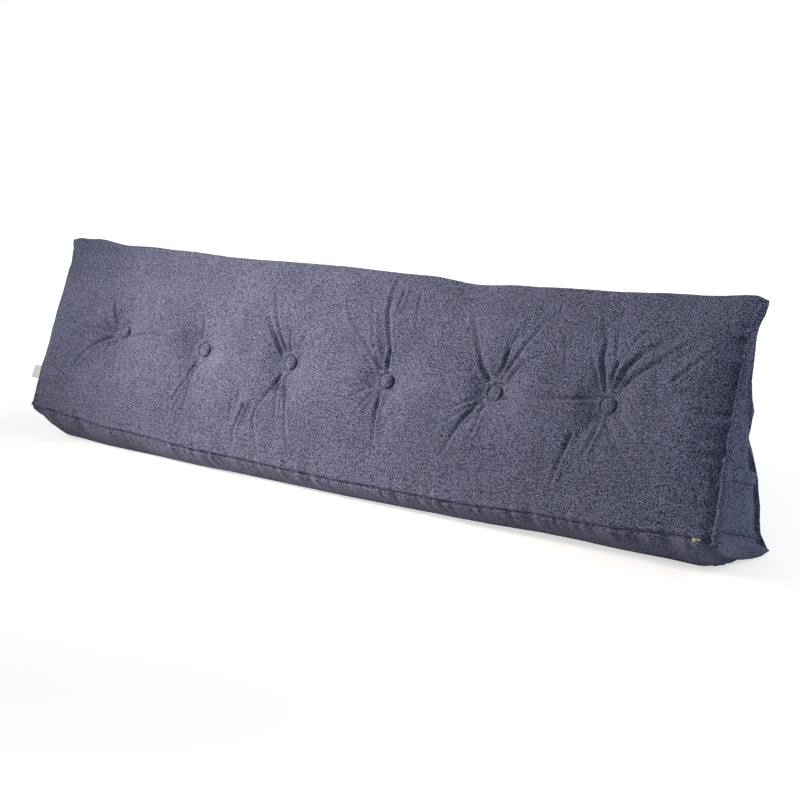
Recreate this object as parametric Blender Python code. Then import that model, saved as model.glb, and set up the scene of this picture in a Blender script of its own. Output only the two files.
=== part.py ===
"""A long wedge backrest pillow in boucle cloth, standing on its base.

Metres, +Z up. +X runs along the pillow to the end with the pocket, and -Y is the sloped,
buttoned face. The origin is on the ground under the middle of the pillow's box.
"""

import math
from collections import namedtuple

import bmesh
import bpy
import numpy as np
from mathutils import Matrix, Vector
from mathutils.bvhtree import BVHTree

# Driving dimensions of the filled cover
LENGTH = 2.00
DEPTH = 0.20
FACE_CROWN = 0.036
BACK_CROWN = 0.014
BACK_SEAM_HEIGHT = 0.020
BACK_SEAM_OUT = 0.012
FRONT_SEAM_SINK = 0.006
FACE_LENGTH = 0.478
CROWN_POWER = 0.75
BASE_POWER = 0.60
TOP_RIDGE_LEAN = (0.29, 0.96)

# How far from each end the stuffing reaches its full crown
FACE_END_EASE = 0.15
BACK_END_EASE = 0.10
BASE_END_EASE = 0.085

# How far the edges of an end panel are drawn in towards the other end: share along the edge, metres
FACE_DRAW = {
    -1: [(0.00, -0.002), (0.50, 0.004), (0.85, -0.001), (1.00, -0.012)],
    1: [(0.00, 0.000), (0.50, 0.010), (0.90, 0.003), (1.00, -0.002)],
}
BACK_DRAW = {
    -1: [(0.00, -0.012), (0.10, 0.010), (0.24, 0.028), (0.50, 0.030), (0.72, 0.014), (1.00, -0.002)],
    1: [(0.00, -0.002), (0.10, 0.022), (0.24, 0.041), (0.50, 0.039), (0.72, 0.014), (1.00, -0.006)],
}
BASE_DRAW = {
    -1: [(0.00, -0.002), (0.50, 0.008), (1.00, -0.002)],
    1: [(0.00, -0.006), (0.50, 0.008), (1.00, 0.000)],
}
DRAW_REACH = 0.055

# Within this distance of the sharp top edge the cloth stands off the section less
THIN_TOP = 0.08

# Buttons. A button's underside and dome are (share of its radius, height) pairs.
BUTTON_COUNT = 6
BUTTON_PITCH = LENGTH / (BUTTON_COUNT + 1)
BUTTON_DIAMETER = 0.034
BUTTON_SIDES = 16
BUTTON_UNDER = [(0.0, -0.0070), (0.35, -0.0065), (0.75, -0.0035), (1.0, -0.0005)]
BUTTON_DOME = [(1.0, 0.0015), (0.900, 0.0052), (0.660, 0.0079), (0.362, 0.0094), (0.0, 0.0102)]
SEAT_STEPS = 12
CLEARANCE = 0.0003
TUFT_DEPTH = 0.042
TUFT_RADIUS = 0.048
TUFT_POWER = 1.15
ROW_VALLEY = 0.006
ROW_VALLEY_WIDTH = 0.055
ROW_VALLEY_EASE = 0.20
RELIEF_FADE = 0.35

# Mesh density
CELLS_PER_PITCH = 14
FACE_ROWS = 22
BACK_ROWS = 6
BASE_ROWS = 7
LIP = 0.018
END_ZONE = 0.040

Button = namedtuple("Button", "shift height")
BUTTONS = [
    Button(shift=0.001, height=0.253),
    Button(shift=0.012, height=0.244),
    Button(shift=0.015, height=0.243),
    Button(shift=0.023, height=0.234),
    Button(shift=0.024, height=0.243),
    Button(shift=0.012, height=0.240),
]

# Heights along the pillow: x, then metres above the ground
TOP_EDGE = [
    (-1.00, 0.500), (-0.98, 0.506), (-0.92, 0.504), (-0.80, 0.494), (-0.60, 0.499),
    (-0.39, 0.492), (-0.10, 0.493), (0.20, 0.488), (0.34, 0.477), (0.44, 0.483),
    (0.64, 0.487), (0.86, 0.494), (0.98, 0.502), (1.00, 0.498),
]
FRONT_SEAM = [
    (-1.00, 0.086), (-0.64, 0.066), (-0.35, 0.055), (0.00, 0.052), (0.35, 0.054), (0.70, 0.069),
    (1.00, 0.083),
]
BASE_BULGE = [(-1.00, 0.072), (-0.60, 0.066), (-0.10, 0.052), (0.50, 0.048), (1.00, 0.056)]
TOP_SEAM_RIDGE = [
    (-1.00, 0.001), (-0.97, 0.005), (-0.90, 0.011), (-0.74, 0.009), (-0.60, 0.003), (0.97, 0.003),
    (1.00, 0.000),
]

# Folds pulled by the buttons. Each route is (along +X, up the face) from its button's middle.
# side is the height of the swelling on the route's left as it leaves the button, as a share of depth,
# and SWELLING_OFF is how far off the route it lies, as a share of the fold's width.
FOLD_FADE = 0.7
SWELLING_OFF = 1.9
Fold = namedtuple("Fold", "button route depth width side")
FOLDS = [
    Fold(1, [(-0.019, 0.003), (-0.063, 0.013), (-0.121, 0.015)], 0.0100, 0.014, 0.3),
    Fold(1, [(-0.024, 0.025), (-0.050, 0.049)], 0.0085, 0.013, 0.0),
    Fold(1, [(-0.020, -0.015), (-0.068, -0.042), (-0.119, -0.067)], 0.0100, 0.016, 0.3),
    Fold(1, [(0.020, -0.004), (0.110, -0.008)], 0.0055, 0.015, 0.0),
    Fold(2, [(-0.011, -0.032), (-0.034, -0.090), (-0.064, -0.115), (-0.067, -0.190)], 0.0125, 0.018, 0.4),
    Fold(2, [(0.018, 0.020), (0.060, 0.080)], 0.0055, 0.016, 0.0),
    Fold(3, [(-0.016, 0.015), (-0.043, 0.049), (-0.110, 0.116)], 0.0125, 0.015, 0.4),
    Fold(3, [(-0.008, -0.032), (-0.029, -0.066), (-0.067, -0.112), (-0.051, -0.195)], 0.0125, 0.015, 0.5),
    Fold(3, [(0.019, -0.065), (0.050, -0.180)], 0.0070, 0.014, 0.0),
    Fold(3, [(-0.117, -0.094), (-0.131, -0.145), (-0.112, -0.216)], 0.0085, 0.014, 0.0),
    Fold(4, [(-0.006, 0.035), (-0.018, 0.091), (-0.039, 0.159), (-0.016, 0.238)], 0.0170, 0.015, 0.6),
    Fold(4, [(-0.040, 0.043), (-0.103, 0.094), (-0.151, 0.149)], 0.0110, 0.015, 0.3),
    Fold(4, [(-0.001, -0.033), (-0.005, -0.090), (0.001, -0.146)], 0.0100, 0.015, 0.3),
    Fold(5, [(-0.020, 0.028), (-0.048, 0.073), (-0.071, 0.114)], 0.0125, 0.016, 0.3),
    Fold(5, [(-0.022, -0.026), (-0.064, -0.086), (-0.098, -0.145)], 0.0140, 0.016, 0.5),
    Fold(5, [(0.007, 0.042), (0.025, 0.092), (0.065, 0.171)], 0.0100, 0.018, 0.4),
    Fold(6, [(-0.014, 0.034), (-0.027, 0.105), (-0.043, 0.155)], 0.0125, 0.014, 0.3),
    Fold(6, [(0.013, 0.038), (0.059, 0.100), (0.136, 0.152)], 0.0140, 0.015, 0.5),
    Fold(6, [(0.026, 0.029), (0.089, 0.081), (0.211, 0.140)], 0.0140, 0.015, 0.5),
    Fold(6, [(-0.050, 0.006), (-0.170, 0.000)], 0.0125, 0.018, 0.3),
    Fold(6, [(-0.016, -0.025), (-0.064, -0.101), (-0.075, -0.147)], 0.0110, 0.015, 0.3),
    Fold(6, [(0.029, -0.027), (0.049, -0.042), (0.078, -0.071)], 0.0085, 0.014, 0.0),
]

# Rings from the last full section out to the seam at an end: how far from the end, and how far
# the cloth stands off the section. They make the dip and the turned seam that stands up beside it.
SeamRing = namedtuple("SeamRing", "from_end stand_off")
SEAM_RINGS = [
    SeamRing(0.028, 0.000),
    SeamRing(0.018, -0.006),
    SeamRing(0.013, -0.001),
    SeamRing(0.007, 0.002),
    SeamRing(0.000, 0.000),
]

# Rings of an end panel, shrinking towards its middle, and how deep each lies below the seam
PanelRing = namedtuple("PanelRing", "size depth")
PANEL_RINGS = [
    PanelRing(0.960, 0.001),
    PanelRing(0.900, 0.012),
    PanelRing(0.760, 0.013),
    PanelRing(0.480, 0.010),
    PanelRing(0.220, 0.008),
]
PANEL_MIDDLE = (0.020, 0.135)

# Pocket on the end panel at +X. Its bottom and hem run parallel to the base, at these shares of
# the way up to the panel's top corner.
POCKET_BOTTOM = 0.030
POCKET_TOP = 0.297
POCKET_INSET = 0.013
POCKET_THICKNESS = 0.0025
POCKET_HEM = 0.0020
POCKET_HEM_FROM = 0.85
POCKET_GAPE = 0.0130
POCKET_CELLS = 12

# Zip slider and pull at the +X end of the seam under the face
SLIDER_X = 0.968
SLIDER_LENGTH = 0.013
SLIDER_WIDTH = 0.0095
SLIDER_PLATE = 0.0030
SLIDER_CORNER = 0.0030
BRIDGE_LENGTH = 0.0080
BRIDGE_WIDTH = 0.0026
BRIDGE_RISE = 0.0034
BRIDGE_BAR = 0.0012
BRIDGE_FOOT = 0.0010
PULL_LENGTH = 0.0110
PULL_WIDTH = 0.0065
PULL_THICKNESS = 0.0012
PULL_CORNER = 0.0015
PULL_EYE_LENGTH = 0.0034
PULL_EYE_WIDTH = 0.0040
PULL_EYE_CORNER = 0.0004
PULL_DROOP = 40

# Folded label sewn into the seam at the -X end
LABEL_SHARE_UP = 0.20
LABEL_STAND_OUT = 0.038
LABEL_HEIGHT = 0.034
LABEL_LAYER = 0.0008
LABEL_FOLD_RADIUS = 0.0014
LABEL_GAP = 0.0005

Finish = namedtuple("Finish", "colour roughness metallic")
BOUCLE = Finish(colour=(0.165, 0.170, 0.227), roughness=0.95, metallic=0.0)
BUTTON_CLOTH = Finish(colour=(0.150, 0.155, 0.215), roughness=0.95, metallic=0.0)
BRASS = Finish(colour=(0.620, 0.440, 0.200), roughness=0.35, metallic=1.0)
WHITE_TAPE = Finish(colour=(0.800, 0.800, 0.820), roughness=0.70, metallic=0.0)


def clear_scene():
    for obj in list(bpy.data.objects):
        bpy.data.objects.remove(obj, do_unlink=True)


def material(name, finish):
    made = bpy.data.materials.new(name)
    made.use_nodes = True
    shader = made.node_tree.nodes["Principled BSDF"]
    shader.inputs["Base Color"].default_value = (*finish.colour, 1.0)
    shader.inputs["Roughness"].default_value = finish.roughness
    shader.inputs["Metallic"].default_value = finish.metallic
    return made


def add_object(name, points, faces, made_of):
    """A mesh object from points and faces, its faces turned outward."""
    mesh = bpy.data.meshes.new(name)
    mesh.from_pydata([tuple(p) for p in points], [], faces)
    body = bmesh.new()
    body.from_mesh(mesh)
    bmesh.ops.recalc_face_normals(body, faces=body.faces)
    body.to_mesh(mesh)
    body.free()
    mesh.shade_smooth()
    mesh.materials.append(made_of)
    obj = bpy.data.objects.new(name, mesh)
    bpy.context.scene.collection.objects.link(obj)
    return obj


def along(table, x):
    """The value at x from a table of (x, value), eased from row to row."""
    places, values = zip(*table)
    i = min(max(int(np.searchsorted(places, x)) - 1, 0), len(places) - 2)
    t = min(max((x - places[i]) / (places[i + 1] - places[i]), 0.0), 1.0)
    return values[i] + (values[i + 1] - values[i]) * t * t * (3 - 2 * t)


def ease_from_end(x, reach):
    """0 at an end of the pillow, 1 from reach inwards, round like a filled edge."""
    t = min(max((LENGTH / 2 - abs(x)) / reach, 0.0), 1.0)
    return math.sqrt(1 - (1 - t) ** 2)


def button_place(number):
    """(x, height up the face) of a button, counted from 1 at the -X end."""
    row = BUTTONS[number - 1]
    return (number - (BUTTON_COUNT + 1) / 2) * BUTTON_PITCH + row.shift, row.height


def fold_relief(fold, x, height):
    """The push of one fold on the face: a trough that dies away along its route, a swelling beside it."""
    bx, bh = button_place(fold.button)
    route = [Vector((bx + dx, bh + dh)) for dx, dh in fold.route]
    whole = sum((b - a).length for a, b in zip(route, route[1:]))
    here = Vector((x, height))
    nearest, gone, place, left = 9.0, 0.0, 0.0, 0.0
    for a, b in zip(route, route[1:]):
        step = b - a
        t = min(max((here - a).dot(step) / step.length_squared, 0.0), 1.0)
        off = here - (a + step * t)
        if off.length < nearest:
            nearest = off.length
            place = (gone + t * step.length) / whole
            left = math.copysign(1.0, step.cross(here - a))
        gone += step.length
    trough = -fold.depth * math.exp(-((nearest / fold.width) ** 2))
    swelling = 0.0
    if left > 0:
        off = nearest / fold.width - SWELLING_OFF
        swelling = fold.side * fold.depth * math.exp(-(off ** 2))
    return (1 - place) ** FOLD_FADE * (trough + swelling)


def face_relief(x, v):
    """How far the buttons and folds move the face outwards at x and share v up the face."""
    height = v * FACE_LENGTH
    places = [button_place(number) for number in range(1, BUTTON_COUNT + 1)]
    pushed = sum(fold_relief(fold, x, height) for fold in FOLDS)
    for bx, bh in places:
        away = math.hypot(x - bx, height - bh)
        pushed -= TUFT_DEPTH * math.exp(-((away / TUFT_RADIUS) ** TUFT_POWER))
    off_row = (height - along(places, x)) / ROW_VALLEY_WIDTH
    pushed -= ROW_VALLEY * ease_from_end(x, ROW_VALLEY_EASE) * math.exp(-(off_row ** 2))
    return pushed * math.sin(math.pi * v) ** RELIEF_FADE


def rows(count):
    """Shares from 0 to 1 with a close lip by each seam."""
    inner = [LIP + (1 - 2 * LIP) * i / count for i in range(count + 1)]
    return [0.0, *inner]


def section(x):
    """(y, z) points round the pillow at x: up the face, down the back, forward along the base."""
    front = Vector((-DEPTH / 2, along(FRONT_SEAM, x)))
    top = Vector((DEPTH / 2, along(TOP_EDGE, x)))
    back = Vector((DEPTH / 2 + BACK_SEAM_OUT, BACK_SEAM_HEIGHT))
    out_face = Vector((-(top - front).y, (top - front).x)).normalized()
    out_back = Vector((1.0, 0.0))
    points = []
    for v in rows(FACE_ROWS):
        crown = FACE_CROWN * ease_from_end(x, FACE_END_EASE) * math.sin(math.pi * v) ** CROWN_POWER
        relief = face_relief(x, v) * ease_from_end(x, FACE_END_EASE)
        points.append(front.lerp(top, v) + out_face * (crown + relief))
    for v in rows(BACK_ROWS):
        crown = BACK_CROWN * ease_from_end(x, BACK_END_EASE) * math.sin(math.pi * v) ** CROWN_POWER
        points.append(top.lerp(back, v) + out_back * crown)
    for v in rows(BASE_ROWS):
        sag = along(BASE_BULGE, x) * ease_from_end(x, BASE_END_EASE) * math.sin(math.pi * v) ** BASE_POWER
        low = back.lerp(front, v)
        points.append(Vector((low.x, max(low.y - sag, 0.0))))
    top_row = len(rows(FACE_ROWS))
    points[0] += Vector((FRONT_SEAM_SINK, FRONT_SEAM_SINK / 2))
    points[top_row] += Vector(TOP_RIDGE_LEAN) * along(TOP_SEAM_RIDGE, x)
    return points


def end_draw(index, side):
    """How far the cloth at this point of the section is drawn in at the end on this side."""
    face, back, base = len(rows(FACE_ROWS)), len(rows(BACK_ROWS)), len(rows(BASE_ROWS))
    if index < face:
        return along(FACE_DRAW[side], index / face)
    if index < face + back:
        return along(BACK_DRAW[side], (index - face) / back)
    return along(BASE_DRAW[side], (index - face - back) / base)


def outwards(points):
    """Unit vectors out of a section, less near its sharp top, where a full offset would cross itself."""
    top_row = len(rows(FACE_ROWS))
    result = []
    for i, here in enumerate(points):
        step = points[(i + 1) % len(points)] - points[i - 1]
        narrow = min((points[top_row] - here).length / THIN_TOP, 1.0)
        result.append(Vector((-step.y, step.x)).normalized() * narrow)
    return result


def cushion_rings():
    """All rings of the filled cover from -X to +X, each a list of (x, y, z)."""
    cell = BUTTON_PITCH / CELLS_PER_PITCH
    stations = [-LENGTH / 2 + (i + 0.5) * cell for i in range(round(LENGTH / cell))]
    stations = [x for x in stations if LENGTH / 2 - abs(x) > END_ZONE]
    seams = [(-(LENGTH / 2 - ring.from_end), ring.stand_off) for ring in reversed(SEAM_RINGS)]
    places = seams + [(x, 0.0) for x in stations] + [(-x, off) for x, off in reversed(seams)]
    rings = []
    for x, stand_off in places:
        flat = section(x)
        normals = outwards(flat)
        reach = math.exp(-(LENGTH / 2 - abs(x)) / DRAW_REACH)
        ring = []
        for i, (point, normal) in enumerate(zip(flat, normals)):
            moved = point + normal * stand_off
            side = 1 if x > 0 else -1
            drawn = x - side * end_draw(i, side) * reach
            ring.append((drawn, moved.x, max(moved.y, 0.0)))
        rings.append(ring)
    middle = Vector(PANEL_MIDDLE)
    for side in (-1, 1):
        edge = rings[0] if side < 0 else rings[-1]
        mean = sum(LENGTH / 2 - abs(x) for x, y, z in edge) / len(edge)
        inner = []
        for size, depth in PANEL_RINGS:
            ring = []
            for x, y, z in edge:
                spot = middle.lerp(Vector((y, z)), size)
                inset = mean + (LENGTH / 2 - abs(x) - mean) * size ** 3 + depth
                ring.append((side * (LENGTH / 2 - inset), spot.x, spot.y))
            inner.append(ring)
        rings = list(reversed(inner)) + rings if side < 0 else rings + inner
    return rings


def make_cushion():
    """The filled cover as one closed solid: rings joined by faces, a point in the middle of each end."""
    rings = cushion_rings()
    around = len(rings[0])
    points = [p for ring in rings for p in ring]
    faces = []
    for r in range(len(rings) - 1):
        for i in range(around):
            j = (i + 1) % around
            faces.append((r * around + i, r * around + j, (r + 1) * around + j, (r + 1) * around + i))
    for ring, start in ((rings[0], 0), (rings[-1], (len(rings) - 1) * around)):
        middle = len(points)
        points.append((sum(p[0] for p in ring) / around, *PANEL_MIDDLE))
        faces += [(start + i, start + (i + 1) % around, middle) for i in range(around)]
    return add_object("cushion", points, faces, material("boucle", BOUCLE))


def surface_of(obj):
    graph = bpy.context.evaluated_depsgraph_get()
    return BVHTree.FromObject(obj, graph)


def button_profile():
    """(underside, dome) of a covered button as (radius, height) pairs."""
    radius = BUTTON_DIAMETER / 2
    return [(s * radius, z) for s, z in BUTTON_UNDER], [(s * radius, z) for s, z in BUTTON_DOME]


def make_button(number, surface, made_of):
    """A button lowered into its tuft until its underside is CLEARANCE from the cloth."""
    bx, bh = button_place(number)
    front = Vector((bx, -DEPTH / 2, along(FRONT_SEAM, bx)))
    top = Vector((bx, DEPTH / 2, along(TOP_EDGE, bx)))
    up = (top - front).normalized()
    out = Vector((0.0, -up.z, up.y))
    aim = front.lerp(top, bh / FACE_LENGTH)
    turn = Matrix((Vector((1, 0, 0)), up, out)).transposed()
    under, dome = button_profile()
    lift = -1.0
    for step in range(SEAT_STEPS + 1):
        r = BUTTON_DIAMETER / 2 * step / SEAT_STEPS
        z = np.interp(r, *zip(*under))
        for k in range(3 * BUTTON_SIDES):
            a = 2 * math.pi * k / (3 * BUTTON_SIDES)
            start = aim + turn @ Vector((r * math.cos(a), r * math.sin(a), 0.2))
            hit = surface.ray_cast(start, -out)[0]
            lift = max(lift, (hit - aim).dot(out) - z)
    profile = under + dome
    points = []
    for r, z in profile[1:-1]:
        for i in range(BUTTON_SIDES):
            a = 2 * math.pi * i / BUTTON_SIDES
            points.append(Vector((r * math.cos(a), r * math.sin(a), z)))
    points += [Vector((0, 0, profile[0][1])), Vector((0, 0, profile[-1][1]))]
    last = len(points) - 2 - BUTTON_SIDES
    faces = []
    for i in range(BUTTON_SIDES):
        j = (i + 1) % BUTTON_SIDES
        faces.append((len(points) - 2, j, i))
        for low in range(0, last, BUTTON_SIDES):
            high = low + BUTTON_SIDES
            faces.append((low + i, low + j, high + j, high + i))
        faces.append((last + i, last + j, len(points) - 1))
    obj = add_object(f"button_{number}", points, faces, made_of)
    obj.matrix_world = Matrix.Translation(aim + out * (lift + CLEARANCE)) @ turn.to_4x4()


def prism(name, outline, place, thickness, made_of):
    """An outline in place's XY plane, extruded by thickness about that plane."""
    points = [place @ Vector((x, y, z)) for z in (-thickness / 2, thickness / 2) for x, y in outline]
    n = len(outline)
    faces = [tuple(range(n)), tuple(range(2 * n - 1, n - 1, -1))]
    faces += [(i, (i + 1) % n, n + (i + 1) % n, n + i) for i in range(n)]
    return add_object(name, points, faces, made_of)


def combine(obj, other, operation):
    """obj with other added or cut away. other stays as a hidden guide."""
    change = obj.modifiers.new(other.name, "BOOLEAN")
    change.operation = operation
    change.object = other
    other.hide_render = True
    other.display_type = "WIRE"


def rounded_box(length, width, radius, steps=3):
    """The outline of a rectangle with round corners, about the origin."""
    points = []
    for corner, (sx, sy) in enumerate(((1, 1), (-1, 1), (-1, -1), (1, -1))):
        for k in range(steps + 1):
            a = math.pi / 2 * (corner + k / steps)
            points.append((
                sx * (length / 2 - radius) + radius * math.cos(a),
                sy * (width / 2 - radius) + radius * math.sin(a),
            ))
    return points


def end_corners(side):
    """(front, top, back) corners of the end panel on this side, as (y, z)."""
    flat = section(side * LENGTH / 2)
    top_row = len(rows(FACE_ROWS))
    return flat[0], flat[top_row], flat[top_row + len(rows(BACK_ROWS))]


def make_pocket(surface, made_of):
    """A patch pocket on the +X end panel, sewn at its sides and bottom, its hemmed mouth a little open."""
    front, top, back = end_corners(1)
    inset = Vector((POCKET_INSET, 0.0))
    count = POCKET_CELLS + 1

    def spot(s, t):
        share = POCKET_BOTTOM + (POCKET_TOP - POCKET_BOTTOM) * t
        return (front.lerp(top, share) + inset).lerp(back.lerp(top, share) - inset, s)

    def panel_under(s, t):
        """The panel's furthest reach within half a cell, so that the flat cells clear its bends."""
        half = 0.5 / count
        near = [spot(s + ds * half, t + dt * half) for ds in (-1, 0, 1) for dt in (-1, 0, 1)]
        starts = [Vector((LENGTH, p.x, p.y)) for p in near]
        return max(surface.ray_cast(start, Vector((-1, 0, 0)))[0].x for start in starts)

    inner, outer = [], []
    for row in range(count):
        for column in range(count):
            s, t = column / POCKET_CELLS, row / POCKET_CELLS
            gape = POCKET_GAPE * math.sin(math.pi * s) ** 0.6 * t
            hem = POCKET_HEM if t > POCKET_HEM_FROM else 0.0
            x = panel_under(s, t) + gape
            inner.append((x, *spot(s, t)))
            outer.append((x + POCKET_THICKNESS + hem, *spot(s, t)))
    faces = []
    size = count * count
    for row in range(POCKET_CELLS):
        for column in range(POCKET_CELLS):
            a = row * count + column
            quad = (a, a + 1, a + count + 1, a + count)
            faces.append(quad)
            faces.append(tuple(size + i for i in reversed(quad)))
    rim = list(range(count))
    rim += [r * count + POCKET_CELLS for r in range(1, count)]
    rim += [POCKET_CELLS * count + c for c in range(POCKET_CELLS - 1, -1, -1)]
    rim += [r * count for r in range(POCKET_CELLS - 1, 0, -1)]
    faces += [(a, size + a, size + b, b) for a, b in zip(rim, rim[1:] + rim[:1])]
    return add_object("pocket", inner + outer, faces, made_of)


def make_zip(surface, made_of):
    """The slider on the seam under the face, and its pull, whose end bar runs under the slider's bridge."""
    height = section(SLIDER_X)[0].y
    reach = []
    for dx in range(-2, 3):
        for dz in range(-2, 3):
            x = SLIDER_X + dx / 4 * SLIDER_LENGTH
            start = Vector((x, -DEPTH, height + dz / 4 * SLIDER_WIDTH))
            reach.append(surface.ray_cast(start, Vector((0, 1, 0)))[0].y)
    top = min(reach) - CLEARANCE - SLIDER_PLATE
    # The seam's own axes: along it, up, and out of the cloth
    lie_flat = Matrix(((1, 0, 0, SLIDER_X), (0, 0, -1, top), (0, 1, 0, height), (0, 0, 0, 1)))
    plate_place = lie_flat @ Matrix.Translation((0, 0, -SLIDER_PLATE / 2))
    plate = rounded_box(SLIDER_LENGTH, SLIDER_WIDTH, SLIDER_CORNER)
    slider = prism("zip_slider", plate, plate_place, SLIDER_PLATE, made_of)
    foot, leg = BRIDGE_FOOT, BRIDGE_LENGTH / 2
    room = BRIDGE_RISE - BRIDGE_BAR
    arch = [(-leg, -foot), (-leg, room), (-leg + BRIDGE_BAR, BRIDGE_RISE)]
    arch += [(-x, y) for x, y in reversed(arch)]
    inside = leg - BRIDGE_BAR
    arch += [(inside, -foot), (inside, room), (-inside, room), (-inside, -foot)]
    stand_up = lie_flat @ Matrix.Rotation(math.radians(90), 4, "X")
    bridge = prism("bridge_guide", arch, stand_up, BRIDGE_WIDTH, made_of)
    combine(slider, bridge, "UNION")
    leg_middle = lie_flat @ Matrix.Translation((-leg + BRIDGE_BAR / 2, 0, room / 2))
    pull_place = leg_middle @ Matrix.Rotation(math.pi + math.radians(PULL_DROOP), 4, "Z")
    eye_end = PULL_EYE_LENGTH / 2 + BRIDGE_BAR
    tag = rounded_box(PULL_LENGTH, PULL_WIDTH, PULL_CORNER)
    outline = [(x + PULL_LENGTH / 2 - eye_end, y) for x, y in tag]
    pull = prism("zip_pull", outline, pull_place, PULL_THICKNESS, made_of)
    hole = rounded_box(PULL_EYE_LENGTH, PULL_EYE_WIDTH, PULL_EYE_CORNER)
    eye = prism("pull_eye_guide", hole, pull_place, 2 * PULL_THICKNESS, made_of)
    combine(pull, eye, "DIFFERENCE")


def make_label(surface, made_of):
    """A narrow tape folded in two, its ends in the front seam of the -X end, its fold standing out."""
    front, top, _ = end_corners(-1)
    root = front.lerp(top, LABEL_SHARE_UP)
    root = Vector((0.0, root.x, root.y))
    up = Vector((0.0, *(top - front).normalized()))
    out = Vector((0.0, -up.z, up.y))
    reach = []
    for share in range(-4, 5):
        for layer in (-1, 0, 1):
            start = root + up * LABEL_HEIGHT / 8 * share + out * LABEL_FOLD_RADIUS * layer
            reach.append(surface.ray_cast(start - Vector((LENGTH, 0, 0)), Vector((1, 0, 0)))[0].x)
    root.x = min(reach) - LABEL_GAP
    outer, inner = LABEL_FOLD_RADIUS, LABEL_FOLD_RADIUS - LABEL_LAYER
    fold_at = LABEL_STAND_OUT - outer
    turns = [math.pi / 2 - math.pi * k / 8 for k in range(9)]
    outside = [(fold_at + outer * math.cos(a), outer * math.sin(a)) for a in turns]
    inside = [(fold_at + inner * math.cos(a), inner * math.sin(a)) for a in reversed(turns)]
    outline = [(0.0, outer), *outside, (0.0, -outer), (0.0, -inner), *inside, (0.0, inner)]
    turn = Matrix((Vector((-1, 0, 0)), out, up)).transposed()
    place = Matrix.Translation(root) @ turn.to_4x4()
    prism("label", outline, place, LABEL_HEIGHT, made_of)


def main():
    clear_scene()
    cushion = make_cushion()
    surface = surface_of(cushion)
    cloth = material("button_cloth", BUTTON_CLOTH)
    for number in range(1, BUTTON_COUNT + 1):
        make_button(number, surface, cloth)
    make_pocket(surface, material("pocket_cloth", BOUCLE))
    make_zip(surface, material("brass", BRASS))
    make_label(surface, material("white_tape", WHITE_TAPE))


main()
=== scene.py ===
import math
import random
from collections import namedtuple

import bmesh
import bpy
import numpy as np
from mathutils import Matrix, Vector, noise
from mathutils.bvhtree import BVHTree


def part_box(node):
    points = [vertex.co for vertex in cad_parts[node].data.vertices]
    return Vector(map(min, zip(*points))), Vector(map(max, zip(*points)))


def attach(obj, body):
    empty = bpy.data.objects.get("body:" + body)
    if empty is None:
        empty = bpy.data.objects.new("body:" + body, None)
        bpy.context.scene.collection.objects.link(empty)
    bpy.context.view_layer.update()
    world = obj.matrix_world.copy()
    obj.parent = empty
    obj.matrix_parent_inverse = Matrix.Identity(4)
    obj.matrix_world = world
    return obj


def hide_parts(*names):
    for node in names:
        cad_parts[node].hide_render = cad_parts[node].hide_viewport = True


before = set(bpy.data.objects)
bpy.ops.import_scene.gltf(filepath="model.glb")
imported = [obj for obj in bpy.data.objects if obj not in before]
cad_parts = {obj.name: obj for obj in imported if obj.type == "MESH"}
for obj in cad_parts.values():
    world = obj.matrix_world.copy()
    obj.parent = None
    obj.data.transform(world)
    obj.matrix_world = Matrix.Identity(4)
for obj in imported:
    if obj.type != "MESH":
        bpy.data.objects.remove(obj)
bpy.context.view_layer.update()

bl_info = {
    "name": "Wedge Backrest Pillow",
    "version": (1, 0, 0),
    "blender": (4, 5, 0),
    "location": "View3D > Sidebar > Pillow",
    "description": "A long tufted wedge pillow in boucle cloth, with its buttons, pocket, zip and label",
    "category": "Add Mesh",
}

# Sizes of the filled cover, in metres. +X runs to the end with the pocket, -Y is the face.
LENGTH = 2.00
DEPTH = 0.20
FACE_CROWN = 0.036
BACK_CROWN = 0.014
BACK_SEAM_OUT = 0.012
FACE_LENGTH = 0.478
CROWN_POWER = 0.75
BASE_POWER = 0.60
FACE_END_EASE = 0.13
BACK_END_EASE = 0.10
BASE_END_EASE = 0.085
DRAW_REACH = 0.055

# The seam round an end panel thins out over this much of it below the top edge
THIN_TOP = 0.17

# How far the edges of an end panel are drawn in: share along the edge, metres
FACE_DRAW = {
    -1: [(0.00, -0.002), (0.50, 0.004), (0.85, -0.001), (0.94, -0.010), (1.00, -0.022)],
    1: [
        (0.00, -0.0105), (0.10, -0.0100), (0.20, -0.0070), (0.30, -0.0020), (0.50, 0.0030), (0.70, 0.0050),
        (0.80, 0.0098), (0.85, 0.0104), (0.90, 0.0080), (0.935, 0.0050), (0.97, -0.0007), (1.00, -0.0020),
    ],
}
BACK_DRAW = {
    -1: [(0.00, -0.022), (0.10, 0.010), (0.24, 0.028), (0.50, 0.030), (0.72, 0.014), (1.00, -0.002)],
    1: [
        (0.00, -0.002), (0.03, 0.006), (0.09, 0.036), (0.16, 0.052), (0.20, 0.048), (0.25, 0.038),
        (0.35, 0.031), (0.45, 0.028), (0.50, 0.033), (0.54, 0.041), (0.58, 0.035), (0.64, 0.023),
        (0.72, 0.015), (0.82, 0.010), (0.90, 0.011), (0.95, 0.008), (1.00, -0.008),
    ],
}
BASE_DRAW = {
    -1: [(0.00, -0.002), (0.50, 0.008), (1.00, -0.002)],
    1: [(0.00, -0.008), (0.50, 0.006), (1.00, -0.0105)],
}

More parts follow.
